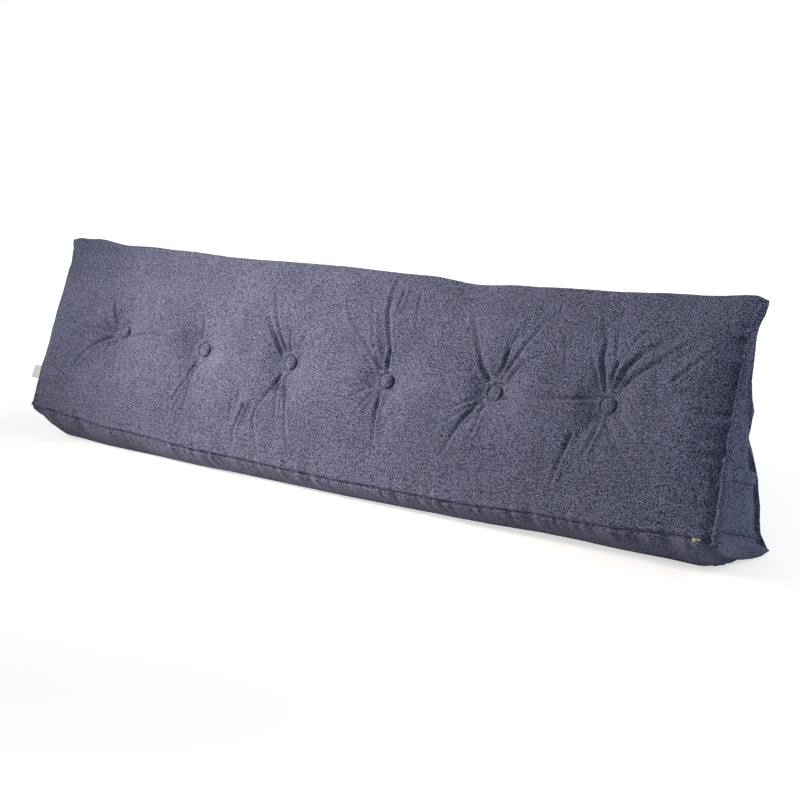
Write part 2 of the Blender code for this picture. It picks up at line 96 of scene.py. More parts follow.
# Heights along the pillow, as x and metres: of the top edge and the two long seams above the ground,
# how far the base sags below its seams, and how far the seam along the top stands up
TOP_EDGE = [
    (-1.00, 0.507), (-0.98, 0.509), (-0.92, 0.504), (-0.80, 0.494), (-0.60, 0.499),
    (-0.39, 0.492), (-0.10, 0.493), (0.20, 0.488), (0.34, 0.477), (0.44, 0.483),
    (0.64, 0.487), (0.86, 0.494), (0.98, 0.502), (1.00, 0.498),
]
FRONT_SEAM = [
    (-1.00, 0.086), (-0.64, 0.066), (-0.35, 0.055), (0.00, 0.052), (0.35, 0.054), (0.70, 0.069),
    (1.00, 0.083),
]
BASE_BULGE = [(-1.00, 0.072), (-0.60, 0.066), (-0.10, 0.052), (0.50, 0.048), (1.00, 0.056)]
BACK_SEAM = [(-1.00, 0.020), (0.84, 0.020), (0.97, 0.010), (1.00, 0.008)]
TOP_SEAM_RIDGE = [
    (-1.00, 0.001), (-0.97, 0.005), (-0.90, 0.011), (-0.74, 0.009), (-0.60, 0.003), (0.97, 0.003),
    (1.00, 0.000),
]

# Which way (y, z) the seam along the top stands up, and how many points each side of it rise with it
TOP_RIDGE_LEAN = (0.29, 0.96)
TOP_RIDGE_ROWS = 1.2

# Buttons, a seventh of the length apart: what each is off its even place, and its height up the face
BUTTON_COUNT = 6
BUTTON_PITCH = LENGTH / (BUTTON_COUNT + 1)
Button = namedtuple("Button", "shift height")
BUTTONS = [
    Button(shift=0.001, height=0.253),
    Button(shift=0.012, height=0.244),
    Button(shift=0.015, height=0.243),
    Button(shift=0.023, height=0.234),
    Button(shift=0.024, height=0.243),
    Button(shift=0.012, height=0.240),
]

# The dimple at each button, from the -X end. It is less deep where more folds meet.
TUFT_DEPTHS = (0.030, 0.030, 0.030, 0.026, 0.025, 0.0245)
TUFT_RADIUS = 0.057
TUFT_POWER = 1.45

# Round the button's rim the cloth stands up a little, and it is flat under it
RIM_RISE = 0.0030
RIM_OFF = 0.0210
RIM_WIDTH = 0.0065
UNDER_DEPTH = 0.0020
UNDER_RADIUS = 0.0130
UNDER_POWER = 4

# The filling stands up on the left of a button, most at the last one
LEFT_SWELL = 0.008
LEFT_SWELL_OFF = 0.074
LEFT_SWELL_WIDTH = 0.034

# A shallow valley joins the buttons. All of this relief fades towards the face's long seams.
ROW_VALLEY = 0.008
ROW_VALLEY_WIDTH = 0.045
ROW_VALLEY_EASE = 0.20
RELIEF_FADE = 0.35

# Folds pulled by the buttons. Each route is (along +X, up the face) from its button's middle.
# side is the swelling on the route's left, as a share of depth.
Fold = namedtuple("Fold", "button route depth width side")
FOLDS = [
    Fold(1, [(-0.019, 0.003), (-0.063, 0.013), (-0.121, 0.015)], 0.0100, 0.014, 0.3),
    Fold(1, [(-0.024, 0.025), (-0.050, 0.049)], 0.0085, 0.013, 0.0),
    Fold(1, [(-0.020, -0.015), (-0.068, -0.042), (-0.119, -0.067)], 0.0100, 0.016, 0.3),
    Fold(1, [(0.020, -0.004), (0.110, -0.008)], 0.0055, 0.015, 0.0),
    Fold(2, [(-0.011, -0.032), (-0.034, -0.090), (-0.064, -0.115), (-0.067, -0.190)], 0.0125, 0.018, 0.4),
    Fold(2, [(0.018, 0.020), (0.060, 0.080)], 0.0055, 0.016, 0.0),
    Fold(3, [(-0.016, 0.015), (-0.043, 0.049), (-0.110, 0.116)], 0.0125, 0.015, 0.4),
    Fold(3, [(-0.008, -0.032), (-0.029, -0.066), (-0.067, -0.112), (-0.051, -0.195)], 0.0125, 0.015, 0.5),
    Fold(3, [(0.019, -0.065), (0.050, -0.180)], 0.0070, 0.014, 0.0),
    Fold(3, [(-0.117, -0.094), (-0.131, -0.145), (-0.112, -0.216)], 0.0085, 0.014, 0.0),
    Fold(4, [(-0.006, 0.035), (-0.018, 0.091), (-0.039, 0.159), (-0.016, 0.238)], 0.0170, 0.015, 0.6),
    Fold(4, [(-0.040, 0.043), (-0.103, 0.094), (-0.151, 0.149)], 0.0110, 0.015, 0.3),
    Fold(4, [(-0.001, -0.033), (-0.005, -0.090), (0.001, -0.146)], 0.0100, 0.015, 0.3),
    Fold(5, [(-0.020, 0.028), (-0.048, 0.073), (-0.071, 0.114)], 0.0125, 0.016, 0.3),
    Fold(5, [(-0.022, -0.026), (-0.064, -0.086), (-0.098, -0.145)], 0.0140, 0.016, 0.5),
    Fold(5, [(0.007, 0.042), (0.025, 0.092), (0.065, 0.171)], 0.0100, 0.018, 0.4),
    Fold(6, [(-0.014, 0.034), (-0.027, 0.105), (-0.043, 0.155)], 0.0125, 0.014, 0.3),
    Fold(6, [(0.013, 0.038), (0.059, 0.100), (0.136, 0.152)], 0.0140, 0.015, 0.5),
    Fold(6, [(0.026, 0.029), (0.089, 0.081), (0.211, 0.140)], 0.0140, 0.015, 0.5),
    Fold(6, [(-0.050, 0.006), (-0.170, 0.000)], 0.0125, 0.018, 0.3),
    Fold(6, [(-0.016, -0.025), (-0.064, -0.101), (-0.075, -0.147)], 0.0110, 0.015, 0.3),
    Fold(6, [(0.029, -0.027), (0.049, -0.042), (0.078, -0.071)], 0.0085, 0.014, 0.0),
]
# The scene's creases do part of the folds' work, so the folds keep this share of their depth
FOLD_SHARE = 0.40

# How a fold and a crease fade along their routes, and where they start outside the button
FOLD_FADE = 0.7
CREASE_FADE = 0.42
CLEAR_OF_BUTTON = 0.015
CLEAR_EASE = 0.045

# Across a fold, in its own widths: where its swellings lie, the weaker one's share of the other,
# and the sharp crease in its trough
SWELLING_OFF = 1.9
WEAKER_SIDE = 0.4
CREASE_SHARE = 0.42
CREASE_WIDTH = 0.36
CREASE_POWER = 1.4

# Thin creases in and beside the folds, each one of three pulls: its depth, width and side
Pull = namedtuple("Pull", "depth width side")
DEEP = Pull(0.0074, 0.0048, 0.7)
CLEAR = Pull(0.0058, 0.0046, 0.6)
FAINT = Pull(0.0040, 0.0040, 0.4)
Crease = namedtuple("Crease", "button pull route")
CREASES = [
    Crease(1, DEEP, [(-0.03, 0.0), (-0.06, 0.015), (-0.11, 0.04)]),
    Crease(1, DEEP, [(-0.035, -0.005), (-0.08, -0.005), (-0.15, -0.01)]),
    Crease(1, DEEP, [(-0.035, -0.02), (-0.07, -0.04), (-0.105, -0.075), (-0.14, -0.12)]),
    Crease(1, CLEAR, [(-0.03, 0.02), (-0.04, 0.045), (-0.045, 0.08)]),
    Crease(1, CLEAR, [(0.015, -0.01), (0.12, 0.0), (0.24, -0.005)]),
    Crease(1, FAINT, [(0.035, -0.015), (0.13, -0.02)]),
    Crease(2, DEEP, [(-0.01, -0.03), (-0.02, -0.08), (-0.05, -0.145), (-0.055, -0.18)]),
    Crease(2, FAINT, [(0.0, -0.095), (-0.01, -0.18)]),
    Crease(2, FAINT, [(-0.015, 0.025), (-0.005, 0.065), (-0.02, 0.095)]),
    Crease(2, FAINT, [(-0.035, 0.005), (-0.065, 0.005)]),
    Crease(3, DEEP, [(-0.03, 0.02), (-0.055, 0.06), (-0.09, 0.105)]),
    Crease(3, CLEAR, [(-0.02, 0.03), (-0.05, 0.085), (-0.095, 0.17)]),
    Crease(3, FAINT, [(-0.005, 0.03), (-0.005, 0.08)]),
    Crease(3, FAINT, [(0.015, 0.025), (0.04, 0.06)]),
    Crease(3, DEEP, [(-0.015, -0.025), (-0.02, -0.06), (-0.055, -0.115), (-0.06, -0.145), (-0.035, -0.215)]),
    Crease(3, DEEP, [(-0.095, -0.115), (-0.12, -0.175), (-0.115, -0.21)]),
    Crease(3, FAINT, [(-0.135, -0.105), (-0.14, -0.155)]),
    Crease(3, CLEAR, [(0.0, -0.03), (0.025, -0.075), (0.06, -0.195)]),
    Crease(3, FAINT, [(-0.005, -0.055), (0.01, -0.145)]),
    Crease(4, DEEP, [(-0.005, 0.025), (0.0, 0.07), (-0.035, 0.155), (-0.045, 0.24)]),
    Crease(4, CLEAR, [(-0.01, 0.205), (-0.01, 0.15)]),
    Crease(4, CLEAR, [(-0.02, 0.025), (-0.04, 0.05), (-0.13, 0.125), (-0.155, 0.165)]),
    Crease(4, FAINT, [(-0.03, 0.045), (-0.05, 0.085), (-0.09, 0.18)]),
    Crease(4, DEEP, [(-0.01, -0.025), (0.0, -0.07), (0.01, -0.145)]),
    Crease(4, FAINT, [(-0.03, -0.015), (-0.09, -0.055)]),
    Crease(4, FAINT, [(-0.025, -0.025), (-0.06, -0.095)]),
    Crease(4, FAINT, [(0.035, 0.205), (0.055, 0.12)]),
    Crease(5, CLEAR, [(-0.02, 0.025), (-0.04, 0.055), (-0.05, 0.085), (-0.09, 0.155), (-0.12, 0.2)]),
    Crease(5, FAINT, [(-0.02, 0.03), (-0.06, 0.13)]),
    Crease(5, FAINT, [(0.0, 0.03), (0.015, 0.065), (0.035, 0.135)]),
    Crease(5, CLEAR, [(0.01, 0.025), (0.045, 0.075), (0.09, 0.16)]),
    Crease(5, FAINT, [(0.02, 0.02), (0.065, 0.06), (0.14, 0.115)]),
    Crease(5, FAINT, [(0.01, 0.04), (0.02, 0.085), (0.015, 0.125)]),
    Crease(5, CLEAR, [(-0.025, -0.015), (-0.06, -0.075), (-0.085, -0.135), (-0.095, -0.155)]),
    Crease(5, FAINT, [(-0.035, -0.015), (-0.08, -0.04), (-0.15, -0.065)]),
    Crease(5, FAINT, [(-0.035, -0.025), (-0.125, -0.1)]),
    Crease(5, FAINT, [(0.0, -0.02), (0.065, -0.085)]),
    Crease(5, FAINT, [(0.04, -0.11), (0.065, -0.165)]),
    Crease(5, FAINT, [(0.025, -0.01), (0.105, -0.03), (0.165, -0.025)]),
    Crease(5, FAINT, [(-0.02, -0.025), (-0.015, -0.075), (-0.03, -0.12)]),
    Crease(6, CLEAR, [(-0.01, 0.03), (-0.03, 0.095), (-0.03, 0.13), (-0.065, 0.2)]),
    Crease(6, FAINT, [(0.0, 0.035), (0.005, 0.085), (-0.015, 0.165), (-0.015, 0.2)]),
    Crease(6, FAINT, [(-0.025, 0.035), (-0.065, 0.12)]),
    Crease(6, CLEAR, [(0.01, 0.035), (0.03, 0.075), (0.055, 0.105), (0.125, 0.16)]),
    Crease(6, FAINT, [(0.005, 0.05), (0.01, 0.1), (0.035, 0.14), (0.08, 0.2)]),
    Crease(6, FAINT, [(0.01, 0.08), (0.05, 0.16)]),
    Crease(6, CLEAR, [(0.02, 0.035), (0.07, 0.075), (0.19, 0.16)]),
    Crease(6, CLEAR, [(0.14, 0.055), (0.2, 0.11), (0.225, 0.14)]),
    Crease(6, CLEAR, [(0.025, -0.02), (0.06, -0.045), (0.095, -0.08)]),
    Crease(6, FAINT, [(0.005, -0.02), (0.05, -0.085), (0.125, -0.17), (0.16, -0.195)]),
    Crease(6, FAINT, [(0.0, -0.025), (0.03, -0.07), (0.03, -0.115)]),
    Crease(6, CLEAR, [(-0.015, -0.015), (-0.01, -0.055), (-0.025, -0.12)]),
    Crease(6, CLEAR, [(-0.06, -0.07), (-0.075, -0.13), (-0.09, -0.195)]),
    Crease(6, CLEAR, [(-0.03, 0.01), (-0.065, 0.005), (-0.15, -0.005)]),
    Crease(6, FAINT, [(-0.125, 0.13), (-0.1, 0.05)]),
    Crease(6, FAINT, [(0.035, -0.01), (0.085, -0.025), (0.13, -0.03)]),
]

# Fine gathers that run out from under each button. Each turns from its even place by up to a share
# of the step between them, and bends by up to this many radians halfway.
GATHERS = 9
GATHER_SEED = 11
GATHER_TURN = 0.35
GATHER_BEND = 0.25
GATHER_START = 0.015
GATHER_SIDE = 0.35
GATHER_REACH = (0.040, 0.095)
GATHER_WIDTH = (0.0035, 0.0065)
GATHER_DEPTH = (0.0012, 0.0030)

# Profile over the seam at an end: metres from the end, how far the cloth stands off the section
EndSeam = namedtuple("EndSeam", "from_end stand_off")
END_SEAM = [
    EndSeam(0.0340, 0.0000), EndSeam(0.0270, -0.0012), EndSeam(0.0215, -0.0040),
    EndSeam(0.0175, -0.0060), EndSeam(0.0150, -0.0066), EndSeam(0.0128, -0.0044),
    EndSeam(0.0104, 0.0000), EndSeam(0.0082, 0.0030), EndSeam(0.0056, 0.0040),
    EndSeam(0.0032, 0.0028), EndSeam(0.0014, 0.0010), EndSeam(0.0000, -0.0014),
]

# The seam at the end with the label lies flatter
PLAIN_END = 0.30

# An end panel: share of the way out from its middle, how far it lies inside the seam
Panel = namedtuple("Panel", "size depth")
PANEL = [
    Panel(0.985, -0.0008), Panel(0.970, 0.0000), Panel(0.950, 0.0028), Panel(0.930, 0.0070),
    Panel(0.905, 0.0112), Panel(0.870, 0.0130), Panel(0.810, 0.0134), Panel(0.730, 0.0128),
    Panel(0.630, 0.0115), Panel(0.520, 0.0104), Panel(0.400, 0.0094), Panel(0.280, 0.0086),
    Panel(0.160, 0.0080), Panel(0.060, 0.0080),
]
PANEL_MIDDLE = (0.020, 0.135)

# How fast the waviness of a panel's edge dies away towards its middle
PANEL_EVENS_OUT = 3

# The seam under the face: its groove, the way (y, z) into it and how many points each side of it sink,
# then the turned edge of the face above it
GROOVE_DEPTH = 0.0060
GROOVE_WIDTH = 0.0030
GROOVE_WAY = (0.90, 0.44)
GROOVE_ROWS = 8
TURNED_EDGE_OFF = 0.0075
TURNED_EDGE_RISE = 0.0046
TURNED_EDGE_WIDTH = 0.0045

# The face's crown near the end with the pocket: how much fuller, how far in, over what width
END_SWELL = 0.30
END_SWELL_OFF = 0.085
END_SWELL_WIDTH = 0.060

# Lumps of the filling: their size in metres, and their height as a share of the unevenness
LUMPS = ((0.110, 1.00), (0.042, 0.40), (0.017, 0.16))

# Puckers beside the seams: the size of their waves, in metres
FRONT_WAVE = 0.016
SLOW_WAVE = 0.037
TOP_WAVE = 0.020
END_WAVE = 0.014

# Their heights as shares of the pucker depth, and the distances over which they fade. FRONT_SLOW is the
# long waves' share of the short ones, and BASE_EXTRA is what the puckers of the base have more.
FRONT_PUCKERS = 1.7
FRONT_SLOW = 0.8
FRONT_START = 0.004
FRONT_FADE = 0.024
BASE_EXTRA = 1.3
TOP_PUCKERS = 0.7
TOP_FADE = 0.030
POCKET_END_PUCKERS = 5.6
LABEL_END_PUCKERS = 1.6
END_START = 0.016
END_FULL_TO = 0.018
END_FADE = 0.030

# A filled cover is calm where it is sharp, and flat where it rests
CALM_BY_TOP = 0.035
CALM_LEAST = 0.25
CALM_BY_GROUND = 0.012

# Mesh density of the cover, in metres between points
CELL = 0.0036
ROW_CELL = 0.0052
CELL_BY_BUTTON = 0.0026
NEAR_BUTTON = 0.026
NEAR_EASE = 0.03
BACK_CELL = 0.0260
BASE_CELL = 0.0150
BACK_LENGTH = 0.50
BASE_LENGTH = 0.24
END_CLEAR = 0.006

# The share of a panel beside each of its seams, and where in it two more points lie
LIP = 0.012
LIP_ROWS = (0.25, 0.55)

# A covered button, from its underside round the rim to the middle: share of the radius, height.
# Height 0 lies this far above the underside of the plain button that it stands for.
BUTTON_PROFILE = [
    (0.00, -0.0068), (0.35, -0.0064), (0.62, -0.0046), (0.80, -0.0028), (0.93, -0.0012), (0.985, 0.0002),
    (1.00, 0.0014), (0.985, 0.0026), (0.95, 0.0037), (0.88, 0.0048), (0.78, 0.0058), (0.65, 0.0066),
    (0.50, 0.0072), (0.34, 0.0076), (0.17, 0.0078), (0.00, 0.0079),
]
BUTTON_SEAT = 0.0070
BUTTON_AROUND = 56
BUTTON_GATHERS = 14
BUTTON_GATHER_DEPTH = 0.00035

# The cloth is gathered at the button's rim, and smooth within this share of its radius
BUTTON_SMOOTH = 0.7
BUTTON_SMOOTH_EASE = 0.25

# Pocket on the end panel at +X: shares of the way up to the panel's top corner
POCKET_BOTTOM = 0.030
POCKET_TOP = 0.297
POCKET_INSET = 0.010
POCKET_GAPE = 0.0150
POCKET_CLOTH = 0.0020
POCKET_CELLS = (44, 48)
POCKET_OFF_PANEL = 0.0006
POCKET_SLACK = 0.0012
SLACK_SIZE = 0.022
HEM_DEPTH = 0.024
HEM_RISE = 0.0042
HEM_EASE = 0.002
HEM_GROOVE = 0.0022
HEM_GROOVE_WIDTH = 0.0016
MOUTH_ROUND = 0.0012
MOUTH_WIDTH = 0.0014

# The pocket's stitch lines: places along each, how far in from the sides and the bottom, as shares
LINE_STEPS = 80
STITCH_INSET = 0.035
STITCH_THICK = 0.0005
STITCH_SHARE = 0.72

# Label: height, thickness of the tape, radius of its fold, and how far it curls
LABEL_HEIGHT = 0.034
LABEL_TAPE = 0.0007
LABEL_FOLD = 0.0014
LABEL_CURL = 0.0016
LABEL_ROWS = 12
LABEL_STEPS = 14
FOLD_STEPS = 10

# Where the stage's lights stand and what they point at
KEY_PLACE, KEY_AIM = (-1.55, -1.25, 1.30), (0.02, 0.0, 0.28)
SIDE_PLACE, SIDE_AIM = (2.7, 1.3, 1.1), (0.9, 0.1, 0.2)

# The camera is the photograph's, found from the pillow's corners, seams and buttons.
# Angles are in radians; the focal length and the middle are in pixels of a square picture.
CAMERA_PLACE = (2.1788, -2.3883, 0.9525)
CAMERA_YAW, CAMERA_PITCH, CAMERA_ROLL = 0.6929, 0.2254, -0.0333
CAMERA_FOCAL, CAMERA_MIDDLE = 1462.56, (401.776, 395.331)
PICTURE = 800
SENSOR = 36.0


def hex_colour(name, thing, default):
    """A setting that holds an sRGB colour, such as #FFFFFF."""
    return bpy.props.StringProperty(name=name, description="sRGB colour of " + thing, default=default)


class PillowCoverSettings(bpy.types.PropertyGroup):
    fold_strength: bpy.props.FloatProperty(
        name="Fold strength", description="How deep the folds pulled by the buttons are",
        default=1.0, min=0.0, max=2.0, subtype="FACTOR")
    pucker_depth: bpy.props.FloatProperty(
        name="Pucker depth", description="Height of the small waves beside the seams",
        default=0.0022, min=0.0, max=0.006, unit="LENGTH", precision=4)
    unevenness: bpy.props.FloatProperty(
        name="Unevenness", description="Height of the soft lumps of the filling",
        default=0.0030, min=0.0, max=0.010, unit="LENGTH", precision=4)
    nub_size: bpy.props.FloatProperty(
        name="Curl size", description="Width of one curl of the boucle yarn",
        default=0.0022, min=0.0015, max=0.010, unit="LENGTH", precision=4)
    # Painted highlight: this colour stands for the light caught on the tops of the curls
    cloth_curl_highlight: hex_colour("Curl highlight", "the yarn where it stands up, with painted highlight", "#AFB5DA")
    cloth_mid: hex_colour("Cloth colour", "most of the cloth", "#51597B")
    # Painted shade: this colour stands for the shadow that falls in the hollows among the curls
    cloth_hollow_shade: hex_colour("Hollow shade", "the painted shade in the hollows between the curls", "#1E2233")


class PillowTrimSettings(bpy.types.PropertyGroup):
    button_size: bpy.props.FloatProperty(
        name="Button size", description="Diameter of a covered button",
        default=0.034, min=0.02, max=0.05, unit="LENGTH", precision=4)
    stitch_pitch: bpy.props.FloatProperty(
        name="Stitch pitch", description="Length from one stitch to the next",
        default=0.0050, min=0.002, max=0.010, unit="LENGTH", precision=4)
    brass: hex_colour("Zip colour", "the zip slider", "#E6D6B4")
    tape: hex_colour("Label colour", "the blank label", "#F1F1F4")
    thread: hex_colour("Thread colour", "the sewing thread", "#4A4C60")


class PillowStageSettings(bpy.types.PropertyGroup):
    floor_colour: hex_colour("Floor colour", "the pale floor", "#CFCFD1")
    key_power: bpy.props.FloatProperty(
        name="Key light", description="Power of the large soft light at the upper left, in watts",
        default=10.8, min=0.0, max=2000.0)
    side_power: bpy.props.FloatProperty(
        name="Side light", description="Power of the soft light on the end with the pocket, in watts",
        default=20.0, min=0.0, max=2000.0)
    sky_strength: bpy.props.FloatProperty(
        name="Room light", description="Strength of the even light of the room",
        default=0.42, min=0.0, max=5.0)


def linear(colour):
    """(r, g, b, 1) in linear light from an sRGB hex colour."""
    shares = [int(colour[i:i + 2], 16) / 255 for i in (1, 3, 5)]
    return (*(s / 12.92 if s <= 0.04045 else ((s + 0.055) / 1.055) ** 2.4 for s in shares), 1.0)


def add_node(tree, kind, inputs=None, **settings):
    """A node with its settings. Each input is a value, or the output socket that feeds it."""
    made = tree.nodes.new(kind)
    for name, value in settings.items():
        setattr(made, name, value)
    for name, value in (inputs or {}).items():
        if isinstance(value, bpy.types.NodeSocket):
            tree.links.new(value, made.inputs[name])
        else:
            made.inputs[name].default_value = value
    return made


def new_material(name):
    """(material, its node tree, the socket of the piece's Object coordinates)."""
    made = bpy.data.materials.new(name)
    made.use_nodes = True
    tree = made.node_tree
    tree.nodes.clear()
    return made, tree, add_node(tree, "ShaderNodeTexCoord").outputs["Object"]


def maths(tree, operation, *values):
    """What a Math node makes of these values."""
    return add_node(tree, "ShaderNodeMath", dict(enumerate(values)), operation=operation).outputs[0]


def bumped(tree, height, strength, distance):
    """Normals bent by a height."""
    inputs = {"Height": height, "Strength": strength, "Distance": distance}
    return add_node(tree, "ShaderNodeBump", inputs).outputs[0]


def two_tones(tree, share, first, last):
    """A colour from the first to the last hex colour, by a share."""
    ramp = add_node(tree, "ShaderNodeValToRGB", {"Fac": share})
    for stop, colour in zip(ramp.color_ramp.elements, (first, last)):
        stop.color = linear(colour)
    return ramp.outputs["Color"]


def end_in_shader(tree, inputs):
    """Give a material its Principled shader, with these inputs."""
    shader = add_node(tree, "ShaderNodeBsdfPrincipled", inputs)
    add_node(tree, "ShaderNodeOutputMaterial", {"Surface": shader.outputs[0]})


def boucle_yarn(name, light, mid, dark, nub):
    """Polyester boucle, a looped yarn cropped short. The curls catch the light and the hollows between
    them go dark, so the cloth is speckled; the speckle is painted into the base colour, as painted highlight
    on the curls and painted shade in the hollows, over a bump. It has no gloss, only the soft glow of fibre
    at its edges."""
    made, tree, place = new_material(name)
    drift = add_node(tree, "ShaderNodeTexNoise", {"Vector": place, "Scale": 0.55 / nub, "Detail": 1.0})
    shift = add_node(tree, "ShaderNodeVectorMath",
                     {0: drift.outputs["Color"], 1: (0.5, 0.5, 0.5)}, operation="SUBTRACT")
    bent = add_node(tree, "ShaderNodeVectorMath",
                    {0: shift.outputs[0], 1: (1.1 * nub,) * 3, 2: place}, operation="MULTIPLY_ADD")
    curls = add_node(tree, "ShaderNodeTexVoronoi", {
        "Vector": bent.outputs[0], "Scale": 1 / nub, "Randomness": 0.85})
    height = add_node(tree, "ShaderNodeMapRange", {
        "Value": curls.outputs["Distance"], "From Min": 0.0, "From Max": 0.85, "To Min": 1.0, "To Max": 0.0})
    fibre = add_node(tree, "ShaderNodeTexNoise",
                     {"Vector": place, "Scale": 2.4 / nub, "Detail": 2.0, "Roughness": 0.7})
    rough = maths(tree, "MULTIPLY_ADD", fibre.outputs["Fac"], 0.75, -0.37)
    relief = maths(tree, "ADD", height.outputs[0], rough)
    # The filling wears the cloth unevenly, over a hand's breadth
    worn = add_node(tree, "ShaderNodeTexNoise", {"Vector": place, "Scale": 9.0, "Detail": 2.0})
    wear = maths(tree, "MULTIPLY_ADD", worn.outputs["Fac"], 0.14, -0.07)
    shade = add_node(tree, "ShaderNodeValToRGB", {"Fac": maths(tree, "ADD", relief, wear)})
    stops = shade.color_ramp.elements
    # Painted shade: the dark stop darkens the hollows among the curls, where shadow falls
    stops[0].position, stops[0].color = 0.22, linear(dark)
    # Painted highlight: the light stop lightens the tops of the curls, where the light falls; the mid stop
    # is the cloth's own colour
    stops[1].position, stops[1].color = 0.88, linear(light)
    stops.new(0.52).color = linear(mid)
    end_in_shader(tree, {
        "Base Color": shade.outputs["Color"], "Normal": bumped(tree, relief, 1.0, 0.34 * nub),
        "Roughness": 0.95, "Specular IOR Level": 0.25, "Sheen Weight": 0.35, "Sheen Roughness": 0.55,
        "Sheen Tint": linear("#A9ACC4")})
    return made


def cast_brass(name, colour):
    """Die-cast zinc plated with brass: metal with fine cast grain, so its glints are soft."""
    made, tree, place = new_material(name)
    grain = add_node(tree, "ShaderNodeTexNoise", {"Vector": place, "Scale": 2500.0, "Detail": 2.0})
    handled = add_node(tree, "ShaderNodeMapRange",
                       {"Value": grain.outputs["Fac"], "To Min": 0.24, "To Max": 0.42})
    end_in_shader(tree, {
        "Base Color": linear(colour), "Metallic": 1.0, "Roughness": handled.outputs[0],
        "Normal": bumped(tree, grain.outputs["Fac"], 0.25, 0.0001)})
    return made


def woven_tape(name, colour):
    """Satin-woven polyester tape: a fine rib every 0.7 mm, with a faint gloss along it."""
    made, tree, place = new_material(name)
    rib = add_node(tree, "ShaderNodeTexWave", {
        "Vector": place, "Scale": 220.0, "Distortion": 0.6, "Detail": 1.0},
        bands_direction="Z").outputs["Fac"]
    end_in_shader(tree, {
        "Base Color": two_tones(tree, rib, "#D6D7DD", colour), "Roughness": 0.62, "Sheen Weight": 0.15,
        "Normal": bumped(tree, rib, 0.5, 0.0002)})
    return made


def spun_thread(name, colour):
    """Spun polyester thread: matt, with a twist every 0.8 mm."""
    made, tree, place = new_material(name)
    twist = add_node(tree, "ShaderNodeTexWave", {"Vector": place, "Scale": 200.0, "Distortion": 1.0},
                     bands_direction="DIAGONAL")
    tint = two_tones(tree, twist.outputs["Fac"], "#303242", colour)
    end_in_shader(tree, {"Base Color": tint, "Roughness": 0.8})
    return made


def matt_floor(name, colour):
    """Matt painted board: even, with a trace of roller grain. It is seen lit from behind, as a light table
    is, and brightens to white away from the pillow."""
    made, tree, place = new_material(name)
    away = add_node(tree, "ShaderNodeVectorMath", {0: place}, operation="LENGTH")
    far = add_node(tree, "ShaderNodeMapRange", {
        "Value": away.outputs["Value"], "From Min": 0.9, "From Max": 2.4, "To Min": 0.62, "To Max": 1.0},
        interpolation_type="SMOOTHSTEP")
    seen = add_node(tree, "ShaderNodeLightPath").outputs["Is Camera Ray"]
    grain = add_node(tree, "ShaderNodeTexNoise", {"Vector": place, "Scale": 60.0, "Detail": 3.0})
    end_in_shader(tree, {
        "Base Color": linear(colour), "Roughness": 0.85,
        "Normal": bumped(tree, grain.outputs["Fac"], 0.05, 0.001), "Emission Color": (1.0, 1.0, 1.0, 1.0),
        "Emission Strength": maths(tree, "MULTIPLY", far.outputs[0], seen)})
    return made


def cloth_material(name="boucle_yarn"):
    """The cover's boucle, made once and shared by the pieces cut from the same cloth."""
    cover = bpy.context.scene.pillow_cover
    return bpy.data.materials.get(name) or boucle_yarn(
        name, cover.cloth_curl_highlight, cover.cloth_mid, cover.cloth_hollow_shade, cover.nub_size)


def put_in_scene(name, data):
    """A new object of the scene, made of this data."""
    made = bpy.data.objects.new(name, data)
    bpy.context.scene.collection.objects.link(made)
    return made


def add_piece(name, points, faces, made_of, slot, body="root"):
    """A mesh piece in the frame, its faces turned outwards, riding on a body."""
    mesh = bpy.data.meshes.new(name)
    mesh.from_pydata([tuple(p) for p in points], [], faces)
    body_mesh = bmesh.new()
    body_mesh.from_mesh(mesh)
    bmesh.ops.recalc_face_normals(body_mesh, faces=body_mesh.faces)
    body_mesh.to_mesh(mesh)
    body_mesh.free()
    mesh.shade_smooth()
    mesh.materials.append(made_of)
    piece = put_in_scene(name, mesh)
    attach(piece, body)
    return piece


def along(table, x):
    """Values at x from a table of (x, value), eased from row to row."""
    places, values = (np.array(column) for column in zip(*table))
    i = np.clip(np.searchsorted(places, x) - 1, 0, len(places) - 2)
    t = np.clip((x - places[i]) / (places[i + 1] - places[i]), 0.0, 1.0)
    return values[i] + (values[i + 1] - values[i]) * t * t * (3 - 2 * t)


def ease_from_end(x, reach):
    """0 at an end of the pillow, 1 from reach inwards, round like a filled edge."""
    t = np.clip((LENGTH / 2 - np.abs(x)) / reach, 0.0, 1.0)
    return np.sqrt(1 - (1 - t) ** 2)


def button_place(number):
    """(x, height up the face) of a button, counted from 1 at the -X end."""
    row = BUTTONS[number - 1]
    return (number - (BUTTON_COUNT + 1) / 2) * BUTTON_PITCH + row.shift, row.height


def waves(points, size, seed):
    """Smooth noise from -1 to 1 at each point, with lumps about this size."""
    spots = np.asarray(points) / size + 17.3 * seed
    return np.array([noise.noise(spot) for spot in spots.reshape(-1, 3)]).reshape(spots.shape[:-1])


def hump(away, width=1.0, power=2):
    """1 in the middle, falling to 1/e at a width from it, and flatter on top with a higher power."""
    return np.exp(-(away / width) ** power)


